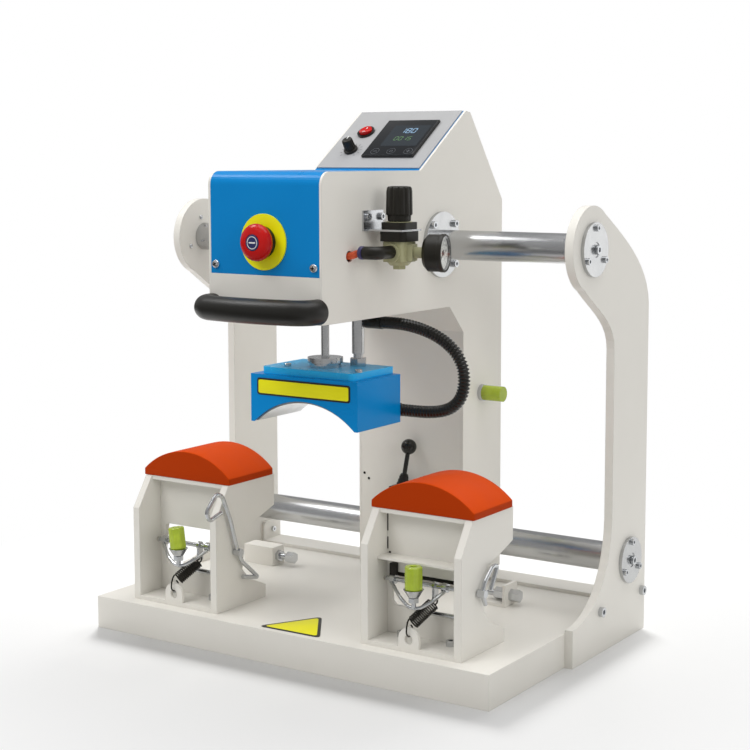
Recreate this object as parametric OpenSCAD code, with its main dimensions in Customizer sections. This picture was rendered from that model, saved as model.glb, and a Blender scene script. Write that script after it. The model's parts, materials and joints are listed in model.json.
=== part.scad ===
// Double station cap heat press: a sliding head with an air cylinder over two padded forms.
// X runs along the guide shafts, Y from front to back and Z up.
// The origin is the centre of the base underside.

/* [Base] */
// Length of the base between the end plates
base_w = 540; // [520:1:620]
// Depth of the base from front to back
base_d = 355; // [345:1:400]
// Height of the base tray
base_h = 38; // [34:1:44]
// Sheet thickness of the base tray
tray_t = 2; // [1.5:0.5:4]
// Width of the tie plate along the rear of the base
tie_d = 38; // [30:1:50]
// Height of the turned up ends of the tie plate
tie_flange_h = 28; // [20:1:34]

/* [End plates] */
// Thickness of each end plate
plate_t = 10; // [8:1:14]
// Length of an end plate's foot in front of its upright
plate_foot = 96; // [80:1:110]
// Width of an end plate's upright
plate_upright = 91; // [80:1:96]
// Radius of the round head of an end plate
plate_head_r = 48; // [42:1:52]
// Distance from the rear of the base to the rear of the end plates
plate_inset = 2; // [0:1:6]

/* [Shafts] */
// Diameter of both guide shafts
shaft_d = 34; // [28:0.5:36]
// Distance of the upper shaft from the front of the base
upper_y = 205; // [198:1:210]
// Height of the upper shaft
upper_z = 460; // [450:1:470]
// Distance of the lower shaft from the front of the base
lower_y = 308; // [303:1:312]
// Height of the lower shaft
lower_z = 93; // [86:1:100]
// Radius of the clamping discs on the upper shaft
upper_disc_r = 30; // [26:1:34]
// Radius of the clamping discs on the lower shaft
lower_disc_r = 27; // [24:1:30]
// Thickness of the clamping discs
disc_t = 4; // [3:0.5:6]
// Running clearance round a sliding shaft
run_gap = 0.05; // [0.02:0.01:0.1]

/* [Head] */
// Position of the head between the two stations
head_x = 9; // [-20:1:20]
// Width of the head and its column
head_w = 151; // [140:1:160]
// Distance that the head stands in front of the base
head_over = 28.5; // [20:0.5:36]
// Height of the head's underside
head_z = 386; // [380:1:392]
// Height of the head's flat top
head_top = 545.5; // [540:0.5:552]
// Height at which the blue cover starts
cover_z = 435.5; // [430:0.5:440]
// Distance from the front of the base to the foot of the control panel
panel_y = 162.5; // [155:0.5:170]
// Slope of the control panel in degrees
panel_angle = 35; // [30:1:38]
// Length of the control panel up its slope
panel_len = 120.5; // [112:0.5:124]
// Depth of the column behind the forms
column_d = 91; // [86:1:96]
// Height of the column's lower end
column_z = 50.5; // [48:0.5:54]
// Thickness of the covers
skin_t = 2; // [1.5:0.5:3]
// Thickness of the head's two side plates
side_t = 3; // [2:0.5:5]

/* [Platen] */
// Distance of the press axis from the front of the base
press_y = 81; // [78:1:84]
// Width of the platen
platen_w = 146; // [136:1:150]
// Depth of the platen
platen_d = 85; // [78:1:90]
// Height of the platen cover
platen_h = 54.5; // [50:0.5:58]
// Height of the platen's lower edge when it is raised
platen_z = 263.5; // [260:0.5:270]
// Radius of the curved heating face
arch_r = 98; // [96:0.5:104]
// Rise of the curved heating face above the platen's lower edge
arch_rise = 25.5; // [24:0.5:27]
// Thickness of the heated shoe
shoe_t = 8; // [6:1:12]
// Thickness of the plate on top of the platen
top_plate_t = 8; // [6:1:10]
// Diameter of the piston rod
rod_d = 9; // [8:0.5:14]
// Diameter of the guide rod
guide_d = 14; // [10:0.5:16]
// Distance that the air cylinder drives the platen down
press_stroke = 70; // [50:1:70]

/* [Forms] */
// Distance of each form's centre from the nearer end plate
station_gap = 106.5; // [100:0.5:112]
// Outer width of a form
form_w = 126; // [116:1:130]
// Thickness of a form's side plates
form_t = 9; // [6:1:12]
// Distance of the forms from the front of the base
form_y = 17.5; // [12:0.5:22]
// Height of the forms' top
form_top = 184; // [180:1:186]
// Width of a pad
pad_w = 130; // [120:1:136]
// Depth of a pad
pad_d = 82; // [76:1:84]
// Height of a pad's straight sides
pad_side = 7.5; // [5:0.5:8]
// Height of a pad's crown above its straight sides
pad_crown = 26; // [20:0.5:26]

/* [Clamps] */
// Diameter of the clamp wire
wire_d = 5; // [4:0.5:6]
// Diameter of the clamp spring
spring_d = 15; // [13:0.5:16]
// Diameter of the spring wire
spring_wire = 1.8; // [1.4:0.1:2]
// Number of turns in the spring
spring_turns = 12; // [8:1:13]
// Diameter of the rubber bumper
bumper_d = 19; // [16:0.5:22]
// Height of the rubber bumper
bumper_h = 25; // [20:0.5:27]

/* [Air supply] */
// Distance of the regulator's axis from the head's side
reg_out = 30; // [28:1:36]
// Distance of the regulator from the front of the base
reg_y = 72; // [66:1:78]
// Height of the regulator's mounting leg
reg_z = 482.5; // [476:0.5:490]
// Diameter of the regulator's knob
reg_knob_d = 29; // [26:0.5:32]
// Diameter of the pressure gauge
gauge_d = 40; // [36:1:44]
// Angle that the gauge is turned towards the rear
gauge_angle = 14.5; // [10:0.5:20]

/* [Conduit] */
// Outer diameter of the ribbed conduit
conduit_d = 14; // [12:0.5:15]
// Bore of the ribbed conduit
conduit_bore = 9; // [7:0.5:9]
// Distance between the ribs
rib_pitch = 3.6; // [3.4:0.1:5]

/* [Hidden] */
$fn = 48;
WHITE = [0.88, 0.88, 0.86];
BLUE = [0.13, 0.38, 0.62];
STEEL = [0.75, 0.76, 0.78];
BLACK = [0.08, 0.08, 0.08];
ORANGE = [0.85, 0.2, 0.05];
LIME = [0.7, 0.8, 0.25];
PANEL_GREY = [0.8, 0.8, 0.82];
far = 400;
cut = 1;
station_x = base_w / 2 - station_gap;

// A point part of the way along a cubic curve, and the whole curve in n steps
function bez(a, b, c, d, t) = a * pow(1 - t, 3) + 3 * b * t * pow(1 - t, 2)
    + 3 * c * t * t * (1 - t) + d * pow(t, 3);
function curve(a, b, c, d, n) = [for (i = [0:n]) bez(a, b, c, d, i / n)];
function unit(v) = v / norm(v);

// An outline that runs clockwise, moved inwards by a distance, with square mitred corners
function mitre(a, b, c, d) = let (u = unit(b - a), v = unit(c - b),
    m = [u[1], -u[0]], n = [v[1], -v[0]]) b + d * (m + n) / (1 + m * n);
function inset(p, d) = let (n = len(p))
    [for (i = [0:n - 1]) mitre(p[(i + n - 1) % n], p[i], p[(i + 1) % n], d)];

// A tube of rings along a path: each ring turns as little as it can from the one before
function ahead(p, i) = unit(p[min(i + 1, len(p) - 1)] - p[max(i - 1, 0)]);
function square_to(v, t) = unit(v - (v * t) * t);
function ring_axes(p, v) = [for (i = 0, n = square_to(v, ahead(p, 0)); i < len(p);
    i = i + 1, n = square_to(n, ahead(p, min(i, len(p) - 1)))) n];
function ring(c, t, n, r, sides) = [for (k = [0:sides - 1])
    c + r * (cos(360 * k / sides) * n + sin(360 * k / sides) * cross(t, n))];
function rings(p, r, sides, v) = let (n = ring_axes(p, v))
    [for (i = [0:len(p) - 1]) each ring(p[i], ahead(p, i), n[i], r[i], sides)];
function skin(a, n, sides, out) = [for (i = [0:n - 2]) for (k = [0:sides - 1])
    let (p = a + i * sides + k, q = a + i * sides + (k + 1) % sides)
    each (out ? [[p, p + sides, q], [q, p + sides, q + sides]]
        : [[p, q, p + sides], [q, q + sides, p + sides]])];
function lid(a, sides, up) = [for (k = [1:sides - 2])
    up ? [a, a + k + 1, a + k] : [a, a + k, a + k + 1]];

module tube(p, r, sides, v) {
    n = len(p);
    polyhedron(rings(p, [for (i = [0:n - 1]) r], sides, v),
        concat(skin(0, n, sides, true), lid(0, sides, false), lid((n - 1) * sides, sides, true)));
}

// Everything is drawn from the front edge of the base and then centred on it
module on_base() translate([0, -base_d / 2, 0]) children();

// A shape drawn in the Y and Z plane and given a width along X from x to x + w
module across(x, w) translate([x, 0, 0]) rotate([90, 0, 90]) linear_extrude(w) children();

// A bent wire through points, with a rounded bend at each one between its ends
wire_sides = 12;
bend_r = 6;
function corner(a, b, c) = let (u = unit(a - b), v = unit(c - b),
    t = min(bend_r, 0.45 * norm(a - b), 0.45 * norm(c - b)))
    [for (k = [0:1 / 3:1]) (b + t * u) * pow(1 - k, 2) + 2 * b * k * (1 - k) + (b + t * v) * k * k];
function rounded(p) = concat([p[0]], [for (i = [1:len(p) - 2]) each corner(p[i - 1], p[i], p[i + 1])],
    [p[len(p) - 1]]);
module wire(p, d, side) tube(rounded(p), d / 2, wire_sides, side);

module hex_head(d, h) cylinder(d = d, h = h, $fn = 6);

// A round screw head with a hexagon socket, standing on Z = 0
module socket_head(d, h) difference() {
    cylinder(d = d, h = h, $fn = 24);
    translate([0, 0, h * 0.45]) cylinder(d = d * 0.55, h = h, $fn = 6);
}

// Base

module base_tray() color(WHITE) on_base() difference() {
    translate([-base_w / 2, 0, 0]) cube([base_w, base_d, base_h]);
    translate([-base_w / 2 + tray_t, tray_t, tray_t])
        cube([base_w - 2 * tray_t, base_d - 2 * tray_t, base_h - 2 * tray_t]);
}

module rear_tie_plate() color(WHITE) on_base() {
    translate([-base_w / 2, base_d - tie_d, base_h]) cube([base_w, tie_d, tie_t]);
    for (s = [0, 1]) mirror([s, 0, 0]) difference() {
        across(base_w / 2 - tie_t, tie_t) hull() {
            translate([base_d - tie_d, base_h + tie_t]) square([tie_d - plate_inset, 1]);
            for (y = [base_d - tie_d + tie_round, base_d - plate_inset - tie_round])
                translate([y, base_h + tie_flange_h - tie_round]) circle(r = tie_round, $fn = 32);
        }
        translate([base_w / 2 - tie_t - cut, tie_hole_y, tie_hole_z])
            rotate([0, 90, 0]) cylinder(d = 7, h = tie_t + 2 * cut);
    }
}

tie_t = 4;
tie_round = 6;
tie_hole_y = base_d - tie_d / 2;
tie_hole_z = base_h + 16;

// End plates

plate_rear = base_d - plate_inset;
upright_y = plate_rear - plate_upright;
foot_y = upright_y - plate_foot;
foot_z = base_h + 5;
shaft_drop = upper_z - lower_z;

// The outline of an end plate, from the foot up its front and down its back
end_outline = concat([[foot_y, 0], [foot_y, foot_z]],
    curve([foot_y + 4, foot_z], [foot_y + 50, foot_z + 2], [upright_y - 3, foot_z + 37],
        [upright_y, foot_z + 107], 12),
    curve([upright_y, upper_z - 115], [upright_y, upper_z - 75], [upper_y - 15, upper_z - 60],
        [upper_y - 43, upper_z - 21], 12),
    [[upper_y, upper_z]],
    curve([upper_y + 18, upper_z + 44.5], [upper_y + 70, upper_z + 15], [plate_rear - 3, upper_z - 20],
        [plate_rear, upper_z - 70], 12),
    [[plate_rear, 0]]);

module end_plate(x) color(WHITE) on_base() difference() {
    union() {
        across(x, plate_t) polygon(end_outline);
        across(x, plate_t) translate([upper_y, upper_z]) circle(r = plate_head_r, $fn = 96);
    }
    for (p = [[upper_y, upper_z], [lower_y, lower_z]]) translate([x - cut, p[0], p[1]])
        rotate([0, 90, 0]) cylinder(d = shaft_d + 2 * run_gap, h = plate_t + 2 * cut);
}
module left_end_plate() end_plate(-base_w / 2 - plate_t);
module right_end_plate() end_plate(base_w / 2);

// Guide shafts and the discs that clamp them to the end plates

plate_out = base_w / 2 + plate_t;

module shaft(y, z) color(STEEL) on_base() translate([-plate_out, y, z])
    rotate([0, 90, 0]) cylinder(d = shaft_d, h = 2 * plate_out, $fn = 64);
module upper_shaft() shaft(upper_y, upper_z);
module lower_shaft() shaft(lower_y, lower_z);

module end_disc(r) {
    rotate([0, 90, 0]) difference() {
        cylinder(r = r, h = disc_t, $fn = 64);
        translate([0, 0, disc_t - 1]) cylinder(r = shaft_d / 4, h = disc_t);
    }
}
module shaft_end_discs() color(STEEL) on_base() for (s = [0, 1]) mirror([s, 0, 0]) {
    translate([plate_out, upper_y, upper_z]) end_disc(upper_disc_r);
    translate([plate_out, lower_y, lower_z]) end_disc(lower_disc_r);
}

// Screws of the discs, of the end plates and of the stops
disc_pitch = 0.79;
module disc_screws(r) {
    translate([disc_t - 1, 0, 0]) rotate([0, 90, 0]) socket_head(10.5, 5);
    for (a = [90, 210, 330]) rotate([a, 0, 0]) translate([disc_t, r * disc_pitch, 0])
        rotate([0, 90, 0]) socket_head(7.5, 3);
}
module frame_screws() color(STEEL) on_base() {
    for (s = [0, 1]) mirror([s, 0, 0]) {
        translate([plate_out, upper_y, upper_z]) disc_screws(upper_disc_r);
        translate([plate_out, lower_y, lower_z]) disc_screws(lower_disc_r);
        for (y = [foot_y + 68, plate_rear - 10]) translate([plate_out, y, base_h + 10.5])
            rotate([0, 90, 0]) socket_head(11, 5);
        for (a = [-1, 1]) translate([station_x + a * form_bolt_x, form_bolt_y, base_h + foot_t])
            socket_head(10, 6);
        translate([base_w / 2 - tie_t, tie_hole_y, tie_hole_z]) rotate([0, -90, 0]) socket_head(7, 3);
    }
    stop_bolt();
}

// Stops at the rear of the forms

stop_y = 235;
stop_z = 12;
stop_h = 24;
left_stop_x = -station_x - 38.5;
right_stop_x = station_x - 3.5;
bolt_d = 8;

module stop_blocks() color(STEEL) on_base() {
    translate([left_stop_x - 23, stop_y - 12, base_h]) difference() {
        cube([46, stop_h, stop_h]);
        translate([30, stop_h / 2, stop_z]) rotate([0, 90, 0]) cylinder(d = bolt_d, h = 30);
    }
    translate([right_stop_x, stop_y - 14, base_h]) difference() {
        union() {
            cube([4, 28, stop_h + 2]);
            translate([-26, 0, 0]) cube([26, 28, 4]);
        }
        translate([-cut, 14, stop_z]) rotate([0, 90, 0]) cylinder(d = bolt_d, h = 6);
    }
}
module stop_bolt() {
    translate([left_stop_x + 7, stop_y, base_h + stop_z]) rotate([0, 90, 0]) {
        cylinder(d = bolt_d, h = 32);
        translate([0, 0, 16]) hex_head(15, 5);
        translate([0, 0, 31.5]) hex_head(14.5, 11);
    }
    translate([right_stop_x - 26, stop_y, base_h + stop_z]) rotate([0, 90, 0]) {
        cylinder(d = bolt_d, h = 34);
        translate([0, 0, 10]) hex_head(15, 16);
        translate([0, 0, 30]) hex_head(15, 12);
    }
}

// Forms: two side plates, a folded bridge between them and a foot

foot_t = 5;
form_bolt_x = 31;
form_bolt_y = form_y + 31.5;
form_in = form_w / 2 - form_t;
form_rear = press_y + 45;
pivot_y = form_y + 32.5;
pivot_z = base_h + 67;
low_rod_z = base_h + 36;
low_rod_y = pivot_y + 2;

// The outline of a side plate, from its lower front corner up, back and down round the notch
form_outline = [[form_y, base_h], [form_y, form_top - 36], [form_y + 23.5, form_top],
    [form_rear, form_top], [form_rear, form_top - 37.5], [form_rear - 28, form_top - 47],
    [form_rear - 54, form_top - 54], [form_rear - 61.5, base_h + 43], [form_rear - 49, base_h + 29],
    [form_rear - 18, base_h + 15], [form_rear - 18, base_h]];

module form_sides(x) color(WHITE) on_base() difference() {
    for (a = [x - form_w / 2, x + form_in]) across(a, form_t) polygon(form_outline);
    translate([x, pivot_y, pivot_z]) rotate([0, 90, 0])
        cylinder(d = wire_d + 2 * run_gap, h = form_w, center = true);
}
module left_form_sides() form_sides(-station_x);
module right_form_sides() form_sides(station_x);

bridge_t = 5;
sheet_t = 3;
panel_back = form_y + 38;
window_half = 47;
window_z = base_h + 36.5;
left_window_h = 49.5;
right_window_h = 37.5;
ledge_z = base_h + 91;
ledge_t = 2.5;
module rounded_window(w, h, r) {
    translate([r, 0]) square([w - 2 * r, h]);
    translate([0, r]) square([w, h - 2 * r]);
    for (x = [r, w - r]) for (y = [r, h - r]) translate([x, y]) circle(r = r);
}
// The top folds down into a recessed panel with a window
module form_bridge(x, window_h) color(WHITE) on_base() {
    translate([x - form_in, form_y + 23.5, form_top - bridge_t])
        cube([2 * form_in, form_rear - form_y - 23.5, bridge_t]);
    difference() {
        translate([x - form_in, panel_back, base_h + foot_t])
            cube([2 * form_in, sheet_t, form_top - bridge_t - base_h - foot_t]);
        translate([x - window_half, panel_back + sheet_t + cut, window_z]) rotate([90, 0, 0])
            linear_extrude(sheet_t + 2 * cut) rounded_window(2 * window_half, window_h, 6);
    }
}
module left_form_bridge() form_bridge(-station_x, left_window_h);
// The right panel also has a narrow ledge
module right_form_bridge() {
    form_bridge(station_x, right_window_h);
    color(WHITE) on_base() translate([station_x - form_in, form_y + 17.5, ledge_z])
        cube([2 * form_in, panel_back - form_y - 17.5, ledge_t]);
}

eye_r = 13;
eye_hole = 10;
eye_z = base_h + 14;
eye_t = 4;
module form_feet() color(WHITE) on_base() for (x = [-station_x, station_x]) {
    translate([x - form_in, form_y, base_h]) cube([2 * form_in, form_rear - 18 - form_y, foot_t]);
    difference() {
        translate([x + eye_x, form_y + eye_t, 0]) rotate([90, 0, 0]) union() {
            translate([0, eye_z, 0]) cylinder(r = eye_r, h = eye_t);
            translate([-eye_r, base_h + foot_t, 0]) cube([2 * eye_r, eye_z - base_h - foot_t, eye_t]);
        }
        translate([x + eye_x, form_y + eye_t + cut, eye_z]) rotate([90, 0, 0])
            cylinder(d = eye_hole, h = eye_t + 2 * cut);
        translate([x - form_in, form_y - cut, base_h]) cube([2 * form_in, eye_t + 2 * cut, foot_t]);
    }
}
eye_x = -2;

module form_cross_rods() color(STEEL) on_base() for (x = [-station_x, station_x])
    translate([x + 4, low_rod_y, low_rod_z]) rotate([0, 90, 0]) cylinder(d = wire_d, h = form_in - 4);

// Pads: a straight edge with a crown that follows a circle
crown_r = (pow(pad_w / 2, 2) + pow(pad_crown, 2)) / (2 * pad_crown);
module pad(x) color(ORANGE) on_base() translate([x, press_y + pad_d / 2, form_top]) rotate([90, 0, 0])
    linear_extrude(pad_d) intersection() {
        translate([-pad_w / 2, 0]) square([pad_w, pad_side + pad_crown]);
        translate([0, pad_side + pad_crown - crown_r]) circle(r = crown_r, $fn = 180);
    }
module left_pad() pad(-station_x);
module right_pad() pad(station_x);

// Clamps: a wire that turns in the side plates, with a hand loop outside and a sprung stirrup inside

lever_out = form_w / 2 + 6;
pivot_in = form_in - 3;
collar_d = 9;
// The bent ends outside the plates, as distances back and up from the pivot: a long hand loop on
// the left form and a short closed loop on the right one
left_loop = [[-30, 52], [-51, 46], [-56, 57], [-38, 75], [-28, 71], [-14, 41], [-4, 9], [6, -12],
    [37, -38], [8, -31]];
right_loop = [[17, 0], [32, 24], [21, 25], [4, 11], [0, 0], [7, -13]];

module clamp_wire(x, loop) color(STEEL) on_base() {
    translate([x - pivot_in, pivot_y, pivot_z]) rotate([0, 90, 0])
        cylinder(d = wire_d, h = pivot_in + lever_out);
    translate([x + lever_out - 4.5, pivot_y, pivot_z]) rotate([0, 90, 0]) cylinder(d = collar_d, h = 9);
    wire([for (p = loop) [x + lever_out, pivot_y + p[0], pivot_z + p[1]]], wire_d, [1, 0, 0]);
}
module left_clamp_wire() clamp_wire(-station_x, left_loop);
module right_clamp_wire() clamp_wire(station_x, right_loop);

bumper_y = form_y + 7;
bumper_z = base_h + 67.5;
cup_h = 8;
nut_d = 12;
sling_z = base_h + 47;
sling_d = wire_d - 1;
// Places of the stirrup's two eyes and of the spring's hanger along the pivot
left_eye = -42;
right_eye = 24;
hook_x = 11;
hanger_drop = 17;
hanger_hole = 5;
hanger_hole_z = pivot_z - 12;
module pivot_eye(x, w) translate([x - w / 2, pivot_y, pivot_z]) rotate([0, 90, 0]) difference() {
    cylinder(d = 2 * wire_d, h = w);
    translate([0, 0, -cut]) cylinder(d = wire_d, h = w + 2 * cut);
}
module clamp_stirrup(x) color(STEEL) on_base() {
    wire([[x + left_eye, pivot_y - 4, pivot_z - 3], [x - 20, bumper_y + 5, sling_z + 7],
        [x - 6, bumper_y, sling_z], [x + 6, bumper_y, sling_z], [x + 18, bumper_y + 8, sling_z + 8],
        [x + right_eye, pivot_y - 3, pivot_z - 4]], sling_d, [0, 1, 0]);
    pivot_eye(x + left_eye, 6);
    pivot_eye(x + right_eye, 6);
    translate([x, bumper_y, bumper_z - cup_h]) cylinder(r1 = 6, r2 = 11, h = cup_h);
    translate([x, bumper_y, sling_z]) cylinder(d = sling_d + 1, h = bumper_z - cup_h - sling_z);
    translate([x, bumper_y, bumper_z - cup_h - 6]) hex_head(nut_d, 5);
    pivot_eye(x + hook_x, 3);
    difference() {
        translate([x + hook_x - 1.5, pivot_y - 4, pivot_z - hanger_drop])
            cube([3, 8, hanger_drop - wire_d / 2 - 0.5]);
        translate([x + hook_x - 3, pivot_y, hanger_hole_z]) rotate([0, 90, 0])
            cylinder(d = hanger_hole, h = 6);
    }
}
module left_clamp_stirrup() clamp_stirrup(-station_x);
module right_clamp_stirrup() clamp_stirrup(station_x);

module bumper(x) color(LIME) on_base() translate([x, bumper_y, bumper_z]) difference() {
    cylinder(d = bumper_d, h = bumper_h);
    translate([0, 0, bumper_h - 8]) cylinder(d = 8, h = 9);
}
module left_bumper() bumper(-station_x);
module right_bumper() bumper(station_x);

// The spring runs from the eye to the stirrup's hanger, and each end is an open hook
coil_r = (spring_d - spring_wire) / 2;
coil_low = [eye_x + 1, form_y + 7, eye_z + 17];
coil_high = [hook_x - 1, pivot_y - 3, pivot_z - 19];
coil_axis = unit(coil_high - coil_low);
coil_side = unit(cross(coil_axis, [1, 0, 0]));
coil_up = cross(coil_axis, coil_side);
coil_len = norm(coil_high - coil_low);
coil_step = coil_len / (spring_turns + 0.5);
function coil_point(a) = coil_low + coil_axis * coil_step * a / 360
    + coil_r * (cos(a + 180) * coil_side + sin(a + 180) * coil_up);
// The lower hook lies in the Y and Z plane and passes through the eye
low_r = 6;
low_hook = [for (a = [60:-30:-180]) [eye_x, form_y + eye_t / 2 + low_r * cos(a),
    eye_z + eye_hole / 2 - 1.4 + low_r + low_r * sin(a)]];
// The upper hook lies in a plane with X and passes through the hanger
high_r = 3.5;
high_dir = unit([0, 3, 7]);
high_at = [hook_x, pivot_y, hanger_hole_z - 1.2] - high_r * high_dir;
high_hook = [for (a = [180:-30:-70]) high_at + high_r * (cos(a) * [1, 0, 0] + sin(a) * high_dir)];
coil_end = 360 * (spring_turns + 0.5);
low_join = coil_point(0);
high_join = coil_point(coil_end);
spring_path = concat(low_hook,
    [for (t = [0.3, 0.6, 0.85]) bez(low_hook[len(low_hook) - 1], low_hook[len(low_hook) - 1] + [0, 0, 7],
        low_join + 5 * coil_up, low_join, t)],
    [for (a = [0:45:coil_end]) coil_point(a)],
    [for (t = [0.25, 0.5, 0.75]) bez(high_join, high_join + 4 * coil_up, high_hook[0] - 3 * high_dir,
        high_hook[0], t)], high_hook);
// The least distance between stretches of the wire that aren't neighbours, less its diameter
spring_gap = min([for (i = [0:len(spring_path) - 8]) for (j = [i + 7:len(spring_path) - 1])
    norm(spring_path[i] - spring_path[j])]) - spring_wire;
module spring(x) color(BLACK) on_base() translate([x, 0, 0])
    tube(spring_path, spring_wire / 2, 6, [1, 0, 0]);
module left_spring() spring(-station_x);
module right_spring() spring(station_x);
echo(spring_gap = spring_gap);

// Head: two side plates inside covers that follow one outline

panel_run = panel_len * cos(panel_angle);
panel_rise = panel_len * sin(panel_angle);
column_y = lower_y - 51;
column_rear = column_y + column_d;
crest_z = head_top + panel_rise;
head_front = -head_over;

// The outside of the head and column, clockwise from the lower front corner, with a rounded bend
// between the front and the top
nose_bend = 14;
bend_steps = 8;
nose_arc = [for (i = [0:bend_steps]) let (a = 180 - 90 * i / bend_steps)
    [head_front + nose_bend + nose_bend * cos(a), head_top - nose_bend + nose_bend * sin(a)]];
head_outline = concat([[head_front, head_z], [head_front, cover_z]], nose_arc,
    [[panel_y, head_top], [panel_y + panel_run, crest_z], [panel_y + panel_run + 9.5, crest_z - 1.5],
    [column_rear, head_top - 36.5], [column_rear, column_z], [column_y, column_z],
    [column_y, head_z - 33], [column_y - 32, head_z]]);
head_inside = inset(head_outline, skin_t);
corners = len(head_outline);
// Places in the outline where one cover ends and the next starts
crest = 4 + bend_steps;
foot = crest + 3;
throat = foot + 3;
side_left = head_x - head_w / 2;
side_right = head_x + head_w / 2;

// A folded cover that follows the outline from corner a to corner b, between the side plates
module cover(a, b) across(side_left + side_t, head_w - 2 * side_t) polygon(concat(
    [for (i = [a:b]) head_outline[i % corners]], [for (i = [b:-1:a]) head_inside[i % corners]]));

bearing_r = shaft_d / 2 + 8;
hose_hole_y = 21;
hose_hole_z = 455.5;
hose_hole = 12;
hose_d = 8;
module head_side(x) color(WHITE) on_base() difference() {
    across(x, side_t) polygon(head_outline);
    for (p = [[upper_y, upper_z, bearing_r], [lower_y, lower_z, shaft_d / 2 + 2]])
        translate([x - cut, p[0], p[1]]) rotate([0, 90, 0]) cylinder(r = p[2], h = side_t + 2 * cut);
    if (x > head_x) translate([x - cut, hose_hole_y, hose_hole_z]) rotate([0, 90, 0])
        cylinder(d = hose_hole, h = side_t + 2 * cut);
}
module head_side_left() head_side(side_left);
module head_side_right() head_side(side_right - side_t);

module front_cover() color(BLUE) on_base() difference() {
    cover(1, crest);
    translate([head_x, head_front - cut, estop_z]) rotate([-90, 0, 0]) cylinder(d = 22, h = skin_t + 2);
    on_cover() panel_holes(-skin_t - cut);
}
module rear_cover() color(WHITE) on_base() cover(crest, foot);
module column_front_cover() color(WHITE) on_base() difference() {
    cover(foot, throat);
    translate([head_x + valve_x + 3.5, column_y - cut, valve_z - 52.5]) cube([17, skin_t + 2 * cut, 21]);
}
module head_bottom_plate() color(WHITE) on_base() difference() {
    cover(throat, corners + 1);
    translate([head_x, press_y, head_z - cut]) cylinder(d = nose_d, h = skin_t + 2 * cut);
    translate([head_x + guide_x, guide_y, head_z - cut]) cylinder(d = bush_d, h = skin_t + 2 * cut);
    translate([head_x + gland_x, conduit_y, head_z - cut]) cylinder(d = gland_d, h = skin_t + 2 * cut);
}

// Bearings that carry the head on the two shafts
bearing_len = 40;
flange_t = 4;
flange_r = 38;
module bearing(r) rotate([0, -90, 0]) difference() {
    union() {
        translate([0, 0, -flange_t]) cylinder(r = r, h = flange_t, $fn = 64);
        cylinder(r = bearing_r, h = bearing_len, $fn = 64);
    }
    translate([0, 0, -flange_t - cut]) cylinder(d = shaft_d + 2 * run_gap, h = bearing_len + flange_t + 2 * cut,
        $fn = 64);
}
module shaft_bearings() color(STEEL) on_base() translate([head_x, 0, 0]) for (s = [0, 1])
    mirror([s, 0, 0]) {
        translate([head_w / 2, upper_y, upper_z]) bearing(flange_r);
        translate([head_w / 2 - side_t - flange_t, lower_y, lower_z]) bearing(bearing_r + 8);
    }

// Travel buffers on the column's sides meet the end plates at the two stations
buffer_y = 300;
buffer_z = 275.5;
buffer_len = station_gap - head_w / 2 - 0.3;
seat_t = 5;
module travel_buffers() color(LIME) on_base() translate([head_x, 0, 0]) for (s = [0, 1])
    mirror([s, 0, 0]) translate([head_w / 2 + seat_t, buffer_y, buffer_z]) rotate([0, 90, 0])
        cylinder(d = 18.5, h = buffer_len - seat_t);

// Screws, buffer seats and other small fittings of the head
module head_fixings() color(STEEL) on_base() translate([head_x, 0, 0]) {
    for (s = [0, 1]) mirror([s, 0, 0]) {
        translate([head_w / 2, buffer_y, buffer_z]) rotate([0, 90, 0]) cylinder(d = 20, h = seat_t);
        for (a = [45:90:315]) translate([head_w / 2 + flange_t, upper_y, upper_z]) rotate([a, 0, 0])
            translate([0, flange_r - 5, 0]) rotate([0, 90, 0]) socket_head(8.5, 4);
        translate([head_w / 2 - 10, head_front, cover_z + 10]) rotate([90, 0, 0]) socket_head(8, 2.5);
    }
    for (y = [reg_y - 20, reg_y + 6]) translate([head_w / 2 + leg_t, y, reg_z + 14])
        rotate([0, 90, 0]) socket_head(8, 3.5);
}

// Emergency stop
estop_z = 471;
estop_travel = 4;
module estop_ring() color("gold") on_base() translate([head_x, head_front, estop_z]) rotate([90, 0, 0])
    difference() {
        union() {
            cylinder(d = 60, h = 1.5);
            cylinder(d = 30, h = 3);
            translate([0, 0, -28]) cylinder(d = 22, h = 28);
        }
        translate([0, 0, -20]) cylinder(d = 12.4, h = 30);
    }
module estop_button() color("red") on_base() translate([head_x, head_front - 3, estop_z])
    rotate([90, 0, 0]) {
        translate([0, 0, -12]) cylinder(d = 12, h = 17);
        translate([0, 0, estop_travel + 0.5]) cylinder(d1 = 34, d2 = 40, h = 3);
        translate([0, 0, estop_travel + 3.5]) cylinder(d = 40, h = 5);
        translate([0, 0, estop_travel + 8.5]) cylinder(d1 = 40, d2 = 28, h = 4);
    }

// Control panel: its pieces are placed by distance from the head's centre and up the slope
panel_t = 1.5;
panel_w = head_w - 2 * side_t - 2;
knob_at = [-41, 37];
rocker_at = [-40, 74];
display_at = [18, 59];
module on_cover() translate([head_x, panel_y, head_top]) rotate([panel_angle, 0, 0]) children();
module on_panel(p) on_base() on_cover() translate([p[0], p[1], 0]) children();
module panel_holes(z) {
    translate([rocker_at[0], rocker_at[1], z]) cylinder(d = rocker_hole, h = far / 10);
    translate([knob_at[0], knob_at[1], z]) cylinder(d = 7, h = far / 10);
}

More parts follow.
